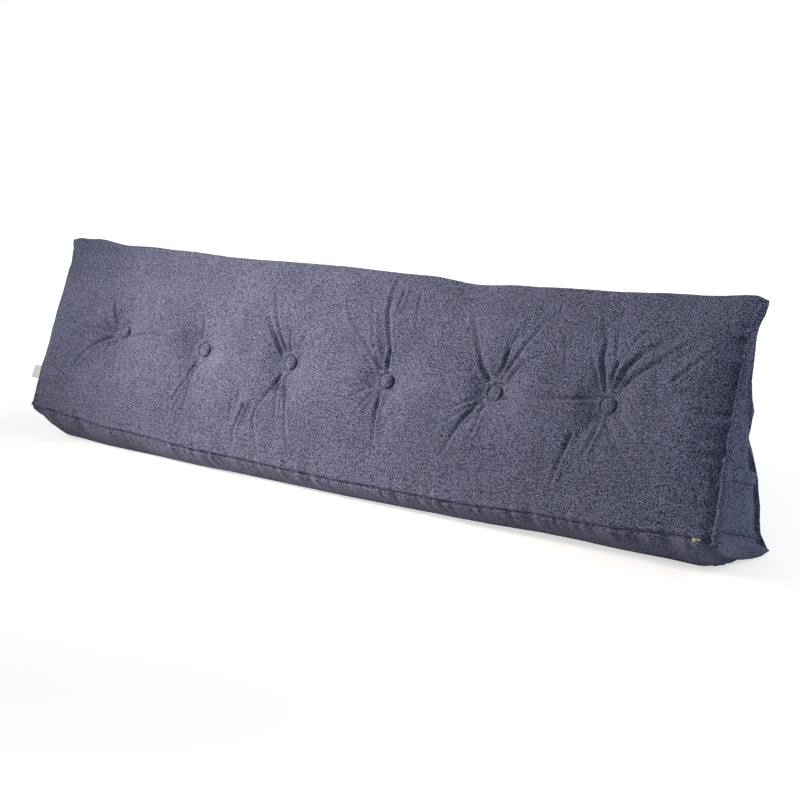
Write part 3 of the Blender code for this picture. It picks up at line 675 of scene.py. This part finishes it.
def fold_relief(fold, x, height, fade):
    """The push of one fold on the face: a soft trough with a crease in it, and a swelling on each side."""
    bx, bh = button_place(fold.button)
    clear = np.clip((np.hypot(x - bx, height - bh) - CLEAR_OF_BUTTON) / CLEAR_EASE, 0.0, 1.0)
    route = [(bx + dx, bh + dh) for dx, dh in fold.route]
    whole = sum(math.dist(a, b) for a, b in zip(route, route[1:]))
    nearest = np.full(x.shape, np.inf)
    place = np.zeros(x.shape)
    left = np.zeros(x.shape)
    gone = 0.0
    for (ax, ay), (bx, by) in zip(route, route[1:]):
        sx, sy = bx - ax, by - ay
        length = math.hypot(sx, sy)
        t = np.clip(((x - ax) * sx + (height - ay) * sy) / length ** 2, 0.0, 1.0)
        off = np.hypot(x - ax - t * sx, height - ay - t * sy)
        closer = off < nearest
        nearest = np.where(closer, off, nearest)
        place = np.where(closer, (gone + t * length) / whole, place)
        left = np.where(closer, sx * (height - ay) - sy * (x - ax), left)
        gone += length
    wide = nearest / fold.width
    trough = (1 - CREASE_SHARE) * hump(wide) + CREASE_SHARE * hump(wide, CREASE_WIDTH, CREASE_POWER)
    swelling = np.where(left > 0, fold.side, WEAKER_SIDE * fold.side) * hump(wide - SWELLING_OFF)
    return fold.depth * (1 - place) ** fade * (swelling - trough) * clear


def gathers():
    """Short fine folds that run out from under each button, each at its own angle."""
    pick = random.Random(GATHER_SEED)
    made = []
    for number in range(1, BUTTON_COUNT + 1):
        for k in range(GATHERS):
            angle = 2 * math.pi * (k + pick.uniform(-GATHER_TURN, GATHER_TURN)) / GATHERS
            reach = pick.uniform(*GATHER_REACH)
            bend = angle + pick.uniform(-GATHER_BEND, GATHER_BEND)
            start = (GATHER_START * math.cos(angle), GATHER_START * math.sin(angle))
            middle = (0.5 * reach * math.cos(angle), 0.5 * reach * math.sin(angle))
            end = (middle[0] + 0.5 * reach * math.cos(bend), middle[1] + 0.5 * reach * math.sin(bend))
            made.append(Fold(number, [start, middle, end], pick.uniform(*GATHER_DEPTH),
                             pick.uniform(*GATHER_WIDTH), GATHER_SIDE))
    return made


def face_relief(x, v, strength):
    """How far buttons and folds move the face outwards at x and share v up the face."""
    height = v * FACE_LENGTH
    places = [button_place(number) for number in range(1, BUTTON_COUNT + 1)]
    pushed = FOLD_SHARE * sum(fold_relief(fold, x, height, FOLD_FADE) for fold in FOLDS)
    creases = [Fold(crease.button, crease.route, *crease.pull) for crease in CREASES]
    pushed += sum(fold_relief(fold, x, height, CREASE_FADE) for fold in creases + gathers())
    pushed *= strength
    for number, (bx, bh) in enumerate(places):
        beside = np.hypot(x - bx + LEFT_SWELL_OFF, height - bh)
        pushed += LEFT_SWELL * number / (BUTTON_COUNT - 1) * hump(beside, LEFT_SWELL_WIDTH)
        away = np.hypot(x - bx, height - bh)
        pushed -= TUFT_DEPTHS[number] * hump(away, TUFT_RADIUS, TUFT_POWER)
        pushed += RIM_RISE * hump(away - RIM_OFF, RIM_WIDTH)
        pushed -= UNDER_DEPTH * hump(away, UNDER_RADIUS, UNDER_POWER)
    off_row = height - along(places, x)
    pushed -= ROW_VALLEY * ease_from_end(x, ROW_VALLEY_EASE) * hump(off_row, ROW_VALLEY_WIDTH)
    return pushed * np.sin(math.pi * v) ** RELIEF_FADE


def with_lips(inner):
    """Shares from 0 up to 1: these, and the closer ones by the seam at each end."""
    near, far = (share * LIP for share in LIP_ROWS)
    return np.concatenate([[0.0, near, far], inner, [1 - far, 1 - near]])


def seam_rows(length, cell):
    """Shares across a panel of this length, a cell apart but closer together by its seams."""
    return with_lips(np.linspace(LIP, 1 - LIP, round(length * (1 - 2 * LIP) / cell)))


def spaced(start, end, fine_at, cell):
    """Places from start to end, a cell apart, and CELL_BY_BUTTON apart near the fine ones."""
    places = [start]
    while places[-1] < end:
        near = min(abs(places[-1] - f) for f in fine_at)
        share = min(max((near - NEAR_BUTTON) / NEAR_EASE, 0.0), 1.0)
        places.append(places[-1] + CELL_BY_BUTTON + (cell - CELL_BY_BUTTON) * share)
    scale = (end - start) / (places[-1] - start)
    return np.array([start + (p - start) * scale for p in places])


def face_rows():
    """Shares up the face, closer together by the seams and at the buttons' height."""
    mean = sum(row.height for row in BUTTONS) / len(BUTTONS)
    return with_lips(spaced(LIP * FACE_LENGTH, (1 - LIP) * FACE_LENGTH, [mean], ROW_CELL) / FACE_LENGTH)


FACE_V = face_rows()
BACK_V = seam_rows(BACK_LENGTH, BACK_CELL)
BASE_V = seam_rows(BASE_LENGTH, BASE_CELL)
TOP_ROW = len(FACE_V)
BACK_ROW = TOP_ROW + len(BACK_V)
AROUND = BACK_ROW + len(BASE_V)


def sections(xs, strength):
    """(y, z) of the cover at each x, AROUND points each: up the face, down the back, forward below."""
    front = np.stack([np.full(len(xs), -DEPTH / 2), along(FRONT_SEAM, xs)], -1)[:, None]
    top = np.stack([np.full(len(xs), DEPTH / 2), along(TOP_EDGE, xs)], -1)[:, None]
    back = np.stack([np.full(len(xs), DEPTH / 2 + BACK_SEAM_OUT), along(BACK_SEAM, xs)], -1)[:, None]
    chord = top - front
    out = np.stack([-chord[..., 1], chord[..., 0]], -1) / np.linalg.norm(chord, axis=-1, keepdims=True)
    ease = {reach: ease_from_end(xs, reach)[:, None, None]
            for reach in (FACE_END_EASE, BACK_END_EASE, BASE_END_EASE)}
    v = FACE_V[None, :, None]
    crown = FACE_CROWN * np.sin(math.pi * v) ** CROWN_POWER
    relief = face_relief(*np.broadcast_arrays(xs[:, None], FACE_V[None, :]), strength)[..., None]
    swell = END_SWELL * hump(LENGTH / 2 - xs - END_SWELL_OFF, END_SWELL_WIDTH)[:, None, None]
    face = front + chord * v + out * (crown * (1 + swell) + relief) * ease[FACE_END_EASE]
    v = BACK_V[None, :, None]
    crown = BACK_CROWN * np.sin(math.pi * v) ** CROWN_POWER * ease[BACK_END_EASE]
    rear = top + (back - top) * v + np.array([1.0, 0.0]) * crown
    v = BASE_V[None, :, None]
    sag = along(BASE_BULGE, xs)[:, None, None] * ease[BASE_END_EASE] * np.sin(math.pi * v) ** BASE_POWER
    base = back + (front - back) * v - np.array([0.0, 1.0]) * sag
    made = np.concatenate([face, rear, base], 1)
    # The groove of the seam under the face, which the zip runs in
    place = np.arange(AROUND)
    reach = np.linalg.norm(made - made[:, :1], axis=-1)
    sink = GROOVE_DEPTH * hump(reach, GROOVE_WIDTH) * (np.minimum(place, AROUND - place) < GROOVE_ROWS)
    made += sink[..., None] * np.array(GROOVE_WAY)
    turned = TURNED_EDGE_RISE * hump(reach[:, :TOP_ROW] - TURNED_EDGE_OFF, TURNED_EDGE_WIDTH)
    made[:, :TOP_ROW] += out * turned[..., None]
    ridge = along(TOP_SEAM_RIDGE, xs)[:, None] * hump(place - TOP_ROW, TOP_RIDGE_ROWS)
    made += ridge[..., None] * np.array(TOP_RIDGE_LEAN)
    made[..., 1] = np.maximum(made[..., 1], 0.0)
    return made


def end_draw(side):
    """How far the cloth at each point round the section is drawn in at the end on this side."""
    return np.concatenate([along(FACE_DRAW[side], FACE_V), along(BACK_DRAW[side], BACK_V),
                           along(BASE_DRAW[side], BASE_V)])


def cover_grid(settings):
    """(points of the cover, rings in an end panel): ring by ring from the middle of the -X panel."""
    reach = END_SEAM[0].from_end + END_CLEAR
    inner = spaced(-LENGTH / 2 + reach, LENGTH / 2 - reach,
                   [button_place(n)[0] for n in range(1, BUTTON_COUNT + 1)], CELL)
    ends = np.array([row.from_end for row in END_SEAM])
    xs = np.concatenate([-(LENGTH / 2 - ends[::-1]), inner, LENGTH / 2 - ends])
    stand_off = np.zeros(len(xs))
    stand_off[:len(ends)] = [PLAIN_END * row.stand_off for row in reversed(END_SEAM)]
    stand_off[-len(ends):] = [row.stand_off for row in END_SEAM]
    flat = sections(xs, settings.fold_strength)
    step = np.roll(flat, -1, 1) - np.roll(flat, 1, 1)
    normal = np.stack([-step[..., 1], step[..., 0]], -1)
    normal /= np.linalg.norm(normal, axis=-1, keepdims=True)
    thin = np.minimum(np.linalg.norm(flat - flat[:, TOP_ROW:TOP_ROW + 1], axis=-1) / THIN_TOP, 1.0)
    flat += normal * (stand_off[:, None] * thin)[..., None]
    side = np.where(xs > 0, 1, -1)
    drawn = np.where(side[:, None] > 0, end_draw(1)[None], end_draw(-1)[None])
    drawn = drawn * np.exp(-(LENGTH / 2 - np.abs(xs)) / DRAW_REACH)[:, None]
    x = xs[:, None] - side[:, None] * drawn
    body = np.stack([x, flat[..., 0], np.maximum(flat[..., 1], 0.0)], -1)
    middle = np.array(PANEL_MIDDLE)
    panels = []
    for side, edge in ((-1, body[0]), (1, body[-1])):
        inset = LENGTH / 2 - np.abs(edge[:, 0])
        rings = []
        for size, depth in PANEL:
            spot = middle + (edge[:, 1:] - middle) * size
            inwards = inset.mean() + (inset - inset.mean()) * size ** PANEL_EVENS_OUT + depth
            rings.append(np.concatenate([(side * (LENGTH / 2 - inwards))[:, None], spot], 1))
        panels.append(np.array(rings))
    return np.concatenate([panels[0][::-1], body, panels[1]]), len(PANEL)


def fine_relief(grid, panel_rings, settings):
    """Small waves of the cloth, along the normal: lumps of filling, and puckers beside the seams."""
    lumps = settings.unevenness * sum(
        share * waves(grid, size, seed) for seed, (size, share) in enumerate(LUMPS, 1))
    x = grid[..., 0]
    first, last = panel_rings, len(grid) - panel_rings
    body = grid[first:last]
    from_front = np.linalg.norm(body - body[:, :1], axis=-1)
    from_top = np.linalg.norm(body - body[:, TOP_ROW:TOP_ROW + 1], axis=-1)
    from_end = LENGTH / 2 - np.abs(x[first:last])
    xs = x[first:last, 0]
    line = np.stack([xs, np.zeros_like(xs), np.zeros_like(xs)], -1)
    across = waves(line, FRONT_WAVE, 4)[:, None]
    slow = waves(line, SLOW_WAVE, 5)[:, None]
    above = waves(line, TOP_WAVE, 6)[:, None]
    beside = waves(body[..., 2:] * np.array([0.0, 0.0, 1.0]), END_WAVE, 7)
    puckers = FRONT_PUCKERS * (across + FRONT_SLOW * slow) * np.exp(-from_front / FRONT_FADE)
    puckers = puckers * (1 - hump(from_front, FRONT_START))
    puckers *= 1 + BASE_EXTRA * (np.arange(AROUND) > BACK_ROW)
    puckers += TOP_PUCKERS * (above + slow) * np.exp(-from_top / TOP_FADE)
    gathered = np.where(xs > 0, POCKET_END_PUCKERS, LABEL_END_PUCKERS)[:, None] * (from_end > END_START)
    puckers += gathered * beside * np.exp(-np.maximum(from_end - END_FULL_TO, 0.0) / END_FADE)
    lumps[first:last] += settings.pucker_depth * puckers
    calm = np.ones_like(lumps)
    calm[first:last] = np.minimum(from_top / CALM_BY_TOP + CALM_LEAST, 1.0)
    calm *= np.clip(grid[..., 2] / CALM_BY_GROUND, 0.0, 1.0)
    return lumps * calm


def grid_normals(grid):
    """Unit vectors out of a grid of rings."""
    lengthwise = np.gradient(grid, axis=0)
    round_it = np.roll(grid, -1, 1) - np.roll(grid, 1, 1)
    normal = np.cross(round_it, lengthwise)
    normal /= np.linalg.norm(normal, axis=-1, keepdims=True) + 1e-12
    half = len(grid) // 2
    outward = ((grid[half] - grid[half].mean(0)) * normal[half]).sum()
    return normal if outward > 0 else -normal


def closed_tube(grid):
    """(points, faces) of rings joined in a tube, with a point in the middle of each end."""
    count, around = grid.shape[:2]
    points = [*grid.reshape(-1, 3), grid[0].mean(0), grid[-1].mean(0)]
    faces = []
    for r in range(count - 1):
        for i in range(around):
            j = (i + 1) % around
            faces.append((r * around + i, r * around + j, (r + 1) * around + j, (r + 1) * around + i))
    for start, middle in ((0, len(points) - 2), ((count - 1) * around, len(points) - 1)):
        faces += [(start + i, start + (i + 1) % around, middle) for i in range(around)]
    return points, faces


def sheet_faces(across, up):
    """Faces of a cloth sheet of across by up cells: an inner grid of points, the outer one and the rim."""
    count, size = across + 1, (across + 1) * (up + 1)
    faces = []
    for row in range(up):
        for column in range(across):
            a = row * count + column
            quad = (a, a + 1, a + count + 1, a + count)
            faces += [quad, tuple(size + i for i in reversed(quad))]
    rim = list(range(count)) + [r * count + across for r in range(1, up + 1)]
    rim += [up * count + c for c in range(across - 1, -1, -1)] + [r * count for r in range(up - 1, 0, -1)]
    return faces + [(a, size + a, size + b, b) for a, b in zip(rim, rim[1:] + rim[:1])]


class PILLOW_OT_cover(bpy.types.Operator):
    """Make the filled cover: one closed cloth form with its tufts, folds and seams"""
    bl_idname = "pillow.cover"
    bl_label = "Make cover"

    def execute(self, context):
        settings = context.scene.pillow_cover
        grid, panel_rings = cover_grid(settings)
        grid = grid + grid_normals(grid) * fine_relief(grid, panel_rings, settings)[..., None]
        grid[..., 2] = np.maximum(grid[..., 2], 0.0)
        cover = add_piece("cover", *closed_tube(grid), cloth_material(), "boucle_cloth")
        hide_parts("cushion")
        return {"FINISHED"}


def face_frame(number):
    """The matrix of the face under a button: +X along the pillow, +Y up the face, +Z out of it."""
    xs = np.array([button_place(number)[0]])
    up = Vector((0.0, DEPTH, float(along(TOP_EDGE, xs)[0] - along(FRONT_SEAM, xs)[0]))).normalized()
    out = Vector((0.0, -up.z, up.y))
    return Matrix((Vector((1, 0, 0)), up, out)).transposed()


class PILLOW_OT_buttons(bpy.types.Operator):
    """Make the six covered buttons, each a shallow dome with its cloth drawn round the rim"""
    bl_idname = "pillow.buttons"
    bl_label = "Make buttons"

    def execute(self, context):
        radius = context.scene.pillow_trim.button_size / 2
        around, rings = BUTTON_AROUND, len(BUTTON_PROFILE) - 2
        for number in range(1, BUTTON_COUNT + 1):
            low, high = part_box(f"button_{number}")
            turn = face_frame(number)
            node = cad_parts[f"button_{number}"]
            heights = [(turn.transposed() @ v.co).z for v in node.data.vertices]
            centre = (low + high) / 2
            lift = min(heights) + BUTTON_SEAT - (turn.transposed() @ centre).z
            place = Matrix.Translation(centre + turn.col[2] * lift) @ turn.to_4x4()
            points = []
            for share, z in BUTTON_PROFILE[1:-1]:
                for i in range(around):
                    a = 2 * math.pi * i / around
                    by_rim = min(max((share - BUTTON_SMOOTH) / BUTTON_SMOOTH_EASE, 0.0), 1.0)
                    gather = BUTTON_GATHER_DEPTH * math.sin(BUTTON_GATHERS * a + number) * by_rim
                    r = share * radius - abs(gather)
                    points.append(place @ Vector((r * math.cos(a), r * math.sin(a), z)))
            points += [place @ Vector((0, 0, BUTTON_PROFILE[end][1])) for end in (0, -1)]
            faces = []
            for i in range(around):
                j = (i + 1) % around
                faces.append((len(points) - 2, j, i))
                faces.append(((rings - 1) * around + i, (rings - 1) * around + j, len(points) - 1))
                for r in range(rings - 1):
                    a, b = r * around, (r + 1) * around
                    faces.append((a + i, a + j, b + j, b + i))
            button = add_piece(f"covered_button_{number}", points, faces, cloth_material(), "boucle_cloth")
            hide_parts(f"button_{number}")
        return {"FINISHED"}


def panel_corners(side):
    """(front, top, back) corners of the end panel on this side, as (y, z)."""
    flat = sections(np.array([side * LENGTH / 2]), 0.0)[0]
    return (Vector(flat[0]), Vector(flat[TOP_ROW]), Vector((flat[BACK_ROW][0], BACK_SEAM[0][1])))


def surface_of(name):
    return BVHTree.FromObject(bpy.data.objects[name], bpy.context.evaluated_depsgraph_get())


def pocket_spot(corners, s, t):
    """(y, z) on the end panel at share s from front to back and t from the pocket's bottom to its mouth."""
    front, top, back = corners
    inset = Vector((POCKET_INSET, 0.0))
    share = POCKET_BOTTOM + (POCKET_TOP - POCKET_BOTTOM) * t
    return (front.lerp(top, share) + inset).lerp(back.lerp(top, share) - inset, s)


class PILLOW_OT_pocket(bpy.types.Operator):
    """Make the patch pocket on the end panel, with its hem turned over and its mouth a little open"""
    bl_idname = "pillow.pocket"
    bl_label = "Make pocket"

    def execute(self, context):
        surface = surface_of("cover")
        corners = panel_corners(1)
        across, up = POCKET_CELLS
        inner, outer = [], []
        tall = 0.0
        for row in range(up + 1):
            for column in range(across + 1):
                s, t = column / across, row / up
                spot = pocket_spot(corners, s, t)
                hit = surface.ray_cast(Vector((LENGTH, *spot)), Vector((-1, 0, 0)))[0]
                # The mouth gapes most in its middle, and the cloth is pressed thin where it is sewn
                gape = POCKET_GAPE * math.sin(math.pi * s) ** 0.6 * t ** 1.3
                sewn = min(s, 1 - s, t) * 8
                slack = POCKET_SLACK * noise.noise(Vector((0.0, *spot)) / SLACK_SIZE) * min(sewn, 1.0)
                thick = POCKET_CLOTH * (0.75 + 0.25 * min(sewn * 2, 1.0))
                rise = (1 - t) * (pocket_spot(corners, s, 1.0) - pocket_spot(corners, s, 0.0)).length
                hem = HEM_RISE * min(max((HEM_DEPTH - rise) / HEM_EASE, 0.0), 1.0)
                hem -= HEM_GROOVE * math.exp(-((rise - HEM_DEPTH) / HEM_GROOVE_WIDTH) ** 2)
                round_over = MOUTH_ROUND * math.exp(-(rise / MOUTH_WIDTH) ** 2)
                x = hit.x + POCKET_OFF_PANEL + gape + slack
                inner.append((x + 0.5 * round_over, *spot))
                outer.append((x + thick + hem - round_over, *spot))
                tall = max(tall, rise)
        faces = sheet_faces(across, up)
        pocket = add_piece("patch_pocket", inner + outer, faces, cloth_material(), "boucle_cloth")
        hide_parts("pocket")
        return {"FINISHED"}


def bevelled_copy(node, name, width, made_of):
    """A copy of a CAD node with its edges rounded, which stands for it."""
    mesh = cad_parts[node].data.copy()
    shape = bmesh.new()
    shape.from_mesh(mesh)
    bmesh.ops.remove_doubles(shape, verts=shape.verts, dist=1e-6)
    bmesh.ops.dissolve_limit(shape, angle_limit=math.radians(1), verts=shape.verts, edges=shape.edges)
    bmesh.ops.bevel(shape, geom=[e for e in shape.edges if e.calc_face_angle(0) > math.radians(30)],
                    offset=width, segments=3, profile=0.5, affect="EDGES", clamp_overlap=True)
    bmesh.ops.recalc_face_normals(shape, faces=shape.faces)
    shape.to_mesh(mesh)
    shape.free()
    mesh.shade_smooth()
    mesh.set_sharp_from_angle(angle=math.radians(40))
    mesh.materials.clear()
    mesh.materials.append(made_of)
    piece = put_in_scene(name, mesh)
    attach(piece, "root")
    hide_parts(node)
    return piece


class PILLOW_OT_zip(bpy.types.Operator):
    """Make the zip's slider and its pull, with their cast edges rounded"""
    bl_idname = "pillow.zip"
    bl_label = "Make zip slider"

    def execute(self, context):
        brass = cast_brass("cast_brass", context.scene.pillow_trim.brass)
        bevelled_copy("zip_slider", "slider_body", 0.0004, brass)
        bevelled_copy("zip_pull", "slider_pull", 0.0003, brass)
        return {"FINISHED"}


class PILLOW_OT_label(bpy.types.Operator):
    """Make the blank label: a woven tape folded in two and sewn into the seam at the -X end"""
    bl_idname = "pillow.label"
    bl_label = "Make label"

    def execute(self, context):
        low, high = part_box("label")
        front, top, _ = panel_corners(-1)
        up = Vector((0.0, *(top - front).normalized()))
        out = Vector((0.0, -up.z, up.y))
        turn = Matrix((Vector((-1, 0, 0)), out, up)).transposed()
        root = Vector((high.x, (low.y + high.y) / 2, (low.z + high.z) / 2))
        place = Matrix.Translation(root) @ turn.to_4x4()
        reach, radius = high.x - low.x, LABEL_FOLD
        bend_at = reach - radius
        # The tape's middle line: out along one layer, round the fold and back. It curls away from the seam.
        line = [(bend_at * k / LABEL_STEPS, radius) for k in range(LABEL_STEPS)]
        line += [(bend_at + radius * math.cos(a), radius * math.sin(a))
                 for a in (math.pi / 2 - math.pi * k / FOLD_STEPS for k in range(FOLD_STEPS + 1))]
        line += [(bend_at * k / LABEL_STEPS, -radius) for k in range(LABEL_STEPS - 1, -1, -1)]
        points, count = [], len(line)
        for side in (0.5, -0.5):
            for k, (x, y) in enumerate(line):
                ax, ay = line[max(k - 1, 0)]
                bx, by = line[min(k + 1, count - 1)]
                run = math.hypot(bx - ax, by - ay)
                nx, ny = -(by - ay) / run, (bx - ax) / run
                off = side * LABEL_TAPE
                for r in range(LABEL_ROWS + 1):
                    z = LABEL_HEIGHT * (r / LABEL_ROWS - 0.5)
                    curl = LABEL_CURL * (x / reach) ** 2 * math.sin(math.pi * (r / LABEL_ROWS + 0.15))
                    points.append(place @ Vector((x + off * nx, y + off * ny + curl, z)))
        tape = woven_tape("woven_tape", context.scene.pillow_trim.tape)
        label = add_piece("care_label", points, sheet_faces(LABEL_ROWS, count - 1), tape, "label_tape")
        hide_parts("label")
        return {"FINISHED"}


def stitch_tree(thread):
    """A Geometry Nodes tree that lays a stitch along each step of an edge path."""
    tree = bpy.data.node_groups.new("stitches", "GeometryNodeTree")
    face = tree.interface
    face.new_socket("Path", in_out="INPUT", socket_type="NodeSocketGeometry")
    for name, value in (("Pitch", 0.005), ("Stitch length", 0.0036), ("Thread radius", 0.0005)):
        socket = face.new_socket(name, in_out="INPUT", socket_type="NodeSocketFloat")
        socket.default_value = value
    face.new_socket("Stitches", in_out="OUTPUT", socket_type="NodeSocketGeometry")
    given = add_node(tree, "NodeGroupInput").outputs
    path = add_node(tree, "GeometryNodeMeshToCurve", {"Mesh": given["Path"]})
    even = add_node(tree, "GeometryNodeResampleCurve",
                    {"Curve": path.outputs[0], "Length": given["Pitch"]}, mode="LENGTH")
    tangent = add_node(tree, "GeometryNodeInputTangent")
    turn = add_node(tree, "FunctionNodeAlignRotationToVector", {"Vector": tangent.outputs[0]}, axis="X")
    bead = add_node(tree, "GeometryNodeMeshIcoSphere", {"Radius": 1.0, "Subdivisions": 2})
    half = add_node(tree, "ShaderNodeMath", {0: given["Stitch length"], 1: 0.5}, operation="MULTIPLY")
    size = add_node(tree, "ShaderNodeCombineXYZ", {
        "X": half.outputs[0], "Y": given["Thread radius"], "Z": given["Thread radius"]})
    laid = add_node(tree, "GeometryNodeInstanceOnPoints", {
        "Points": even.outputs[0], "Instance": bead.outputs[0], "Rotation": turn.outputs[0],
        "Scale": size.outputs[0]})
    real = add_node(tree, "GeometryNodeRealizeInstances", {"Geometry": laid.outputs[0]})
    smooth = add_node(tree, "GeometryNodeSetShadeSmooth", {"Geometry": real.outputs[0]})
    dressed = add_node(tree, "GeometryNodeSetMaterial", {"Geometry": smooth.outputs[0], "Material": thread})
    add_node(tree, "NodeGroupOutput", {0: dressed.outputs[0]})
    return tree


def grown(source, tree, inputs, name):
    """The plain mesh that a Geometry Nodes tree makes from a mesh, as a new piece."""
    grower = source.modifiers.new(name, "NODES")
    grower.node_group = tree
    for item in tree.interface.items_tree:
        if item.item_type == "SOCKET" and item.in_out == "INPUT" and item.name in inputs:
            grower[item.identifier] = inputs[item.name]
    bpy.context.view_layer.update()
    graph = bpy.context.evaluated_depsgraph_get()
    mesh = bpy.data.meshes.new_from_object(source.evaluated_get(graph), depsgraph=graph)
    mesh.name = name
    bpy.data.objects.remove(source, do_unlink=True)
    return put_in_scene(name, mesh)


def edge_path(name, runs):
    """A mesh of edges along each run of points."""
    points, edges = [], []
    for run in runs:
        edges += [(len(points) + i, len(points) + i + 1) for i in range(len(run) - 1)]
        points += [tuple(p) for p in run]
    mesh = bpy.data.meshes.new(name)
    mesh.from_pydata(points, edges, [])
    return put_in_scene(name, mesh)


class PILLOW_OT_stitches(bpy.types.Operator):
    """Lay the pocket's stitches along its hem, its bottom and its sides"""
    bl_idname = "pillow.stitches"
    bl_label = "Lay stitches"

    def execute(self, context):
        trim = context.scene.pillow_trim
        corners = panel_corners(1)
        pocket = surface_of("patch_pocket")
        deep = (pocket_spot(corners, 0.5, 1.0) - pocket_spot(corners, 0.5, 0.0)).length

        def on_pocket(s, t):
            spot = pocket_spot(corners, s, t)
            return pocket.ray_cast(Vector((LENGTH, *spot)), Vector((-1, 0, 0)))[0]

        # Each line stops a little short of the pocket's corners
        steps = range(LINE_STEPS + 1)
        lines = [[on_pocket(0.02 + 0.96 * k / LINE_STEPS, t) for k in steps]
                 for t in (1 - HEM_DEPTH / deep, STITCH_INSET)]
        lines += [[on_pocket(s, 0.03 + 0.95 * k / LINE_STEPS) for k in steps]
                  for s in (STITCH_INSET, 1 - STITCH_INSET)]
        thread = spun_thread("spun_thread", trim.thread)
        sizes = {"Pitch": trim.stitch_pitch, "Stitch length": STITCH_SHARE * trim.stitch_pitch,
                 "Thread radius": STITCH_THICK}
        sewn = grown(edge_path("pocket_path", lines), stitch_tree(thread), sizes, "pocket_stitches")
        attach(sewn, "root")
        return {"FINISHED"}


class PILLOW_OT_stage(bpy.types.Operator):
    """Set the pale floor, the soft studio light and the camera"""
    bl_idname = "pillow.stage"
    bl_label = "Set stage"

    def execute(self, context):
        settings = context.scene.pillow_stage
        scene = context.scene
        mesh = bpy.data.meshes.new("floor")
        corners = ((-14, -14), (14, -14), (14, 14), (-14, 14))
        mesh.from_pydata([(*corner, -0.0004) for corner in corners], [], [(0, 1, 2, 3)])
        mesh.materials.append(matt_floor("matt_floor", settings.floor_colour))
        floor = put_in_scene("floor", mesh)
        world = bpy.data.worlds.new("studio")
        world.use_nodes = True
        # The room lights softly, and looks white behind the floor's far edge
        seen = add_node(world.node_tree, "ShaderNodeLightPath").outputs["Is Camera Ray"]
        level = add_node(world.node_tree, "ShaderNodeMapRange", {
            "Value": seen, "To Min": settings.sky_strength})
        back = world.node_tree.nodes["Background"]
        back.inputs["Color"].default_value = (1.0, 1.0, 1.0, 1.0)
        world.node_tree.links.new(level.outputs[0], back.inputs["Strength"])
        scene.world = world
        key = bpy.data.lights.new("key", "AREA")
        key.size = 0.60
        key.spread = math.radians(56)
        key.energy = settings.key_power
        key.color = linear("#FFEEDA")[:3]
        side = bpy.data.lights.new("side", "AREA")
        side.size = 1.2
        side.energy = settings.side_power
        for light, place, aim in ((key, KEY_PLACE, KEY_AIM), (side, SIDE_PLACE, SIDE_AIM)):
            lamp = put_in_scene(light.name, light)
            lamp.location = place
            lamp.visible_camera = False
            lamp.rotation_euler = (Vector(aim) - Vector(place)).to_track_quat("-Z", "Y").to_euler()
        yaw, pitch, roll = CAMERA_YAW, CAMERA_PITCH, CAMERA_ROLL
        ahead = Vector((-math.sin(yaw) * math.cos(pitch), math.cos(yaw) * math.cos(pitch), -math.sin(pitch)))
        right = Vector((math.cos(yaw), math.sin(yaw), 0.0))
        above = right.cross(ahead)
        turned_right = right * math.cos(roll) + above * math.sin(roll)
        turned_above = above * math.cos(roll) - right * math.sin(roll)
        lens = bpy.data.cameras.new("camera")
        lens.sensor_width = SENSOR
        lens.lens = CAMERA_FOCAL / PICTURE * SENSOR
        lens.shift_x = (PICTURE / 2 - CAMERA_MIDDLE[0]) / PICTURE
        lens.shift_y = (CAMERA_MIDDLE[1] - PICTURE / 2) / PICTURE
        camera = put_in_scene("camera", lens)
        turn = Matrix((turned_right, turned_above, -ahead)).transposed().to_4x4()
        camera.matrix_world = Matrix.Translation(CAMERA_PLACE) @ turn
        scene.camera = camera
        scene.view_settings.view_transform = "Standard"
        return {"FINISHED"}


class PILLOW_PT_sidebar(bpy.types.Panel):
    """The pillow's pieces and their settings"""
    bl_label = "Backrest Pillow"
    bl_idname = "PILLOW_PT_sidebar"
    bl_space_type = "VIEW_3D"
    bl_region_type = "UI"
    bl_category = "Pillow"

    def draw(self, context):
        layout = self.layout
        for group in (context.scene.pillow_cover, context.scene.pillow_trim, context.scene.pillow_stage):
            box = layout.box()
            for name in group.__annotations__:
                box.prop(group, name)
        for kind in STEPS:
            layout.operator(kind.bl_idname)


SETTINGS = {
    "pillow_cover": PillowCoverSettings,
    "pillow_trim": PillowTrimSettings,
    "pillow_stage": PillowStageSettings,
}
STEPS = (PILLOW_OT_stage, PILLOW_OT_cover, PILLOW_OT_buttons, PILLOW_OT_pocket, PILLOW_OT_zip,
         PILLOW_OT_label, PILLOW_OT_stitches)


def register():
    for kind in (*SETTINGS.values(), *STEPS, PILLOW_PT_sidebar):
        bpy.utils.register_class(kind)
    for name, kind in SETTINGS.items():
        setattr(bpy.types.Scene, name, bpy.props.PointerProperty(type=kind))


def unregister():
    for name in SETTINGS:
        delattr(bpy.types.Scene, name)
    for kind in reversed((*SETTINGS.values(), *STEPS, PILLOW_PT_sidebar)):
        bpy.utils.unregister_class(kind)


def main():
    """Make every piece in order."""
    register()
    for kind in STEPS:
        getattr(bpy.ops.pillow, kind.bl_idname.split(".")[1])()


if __name__ == "__main__":
    main()
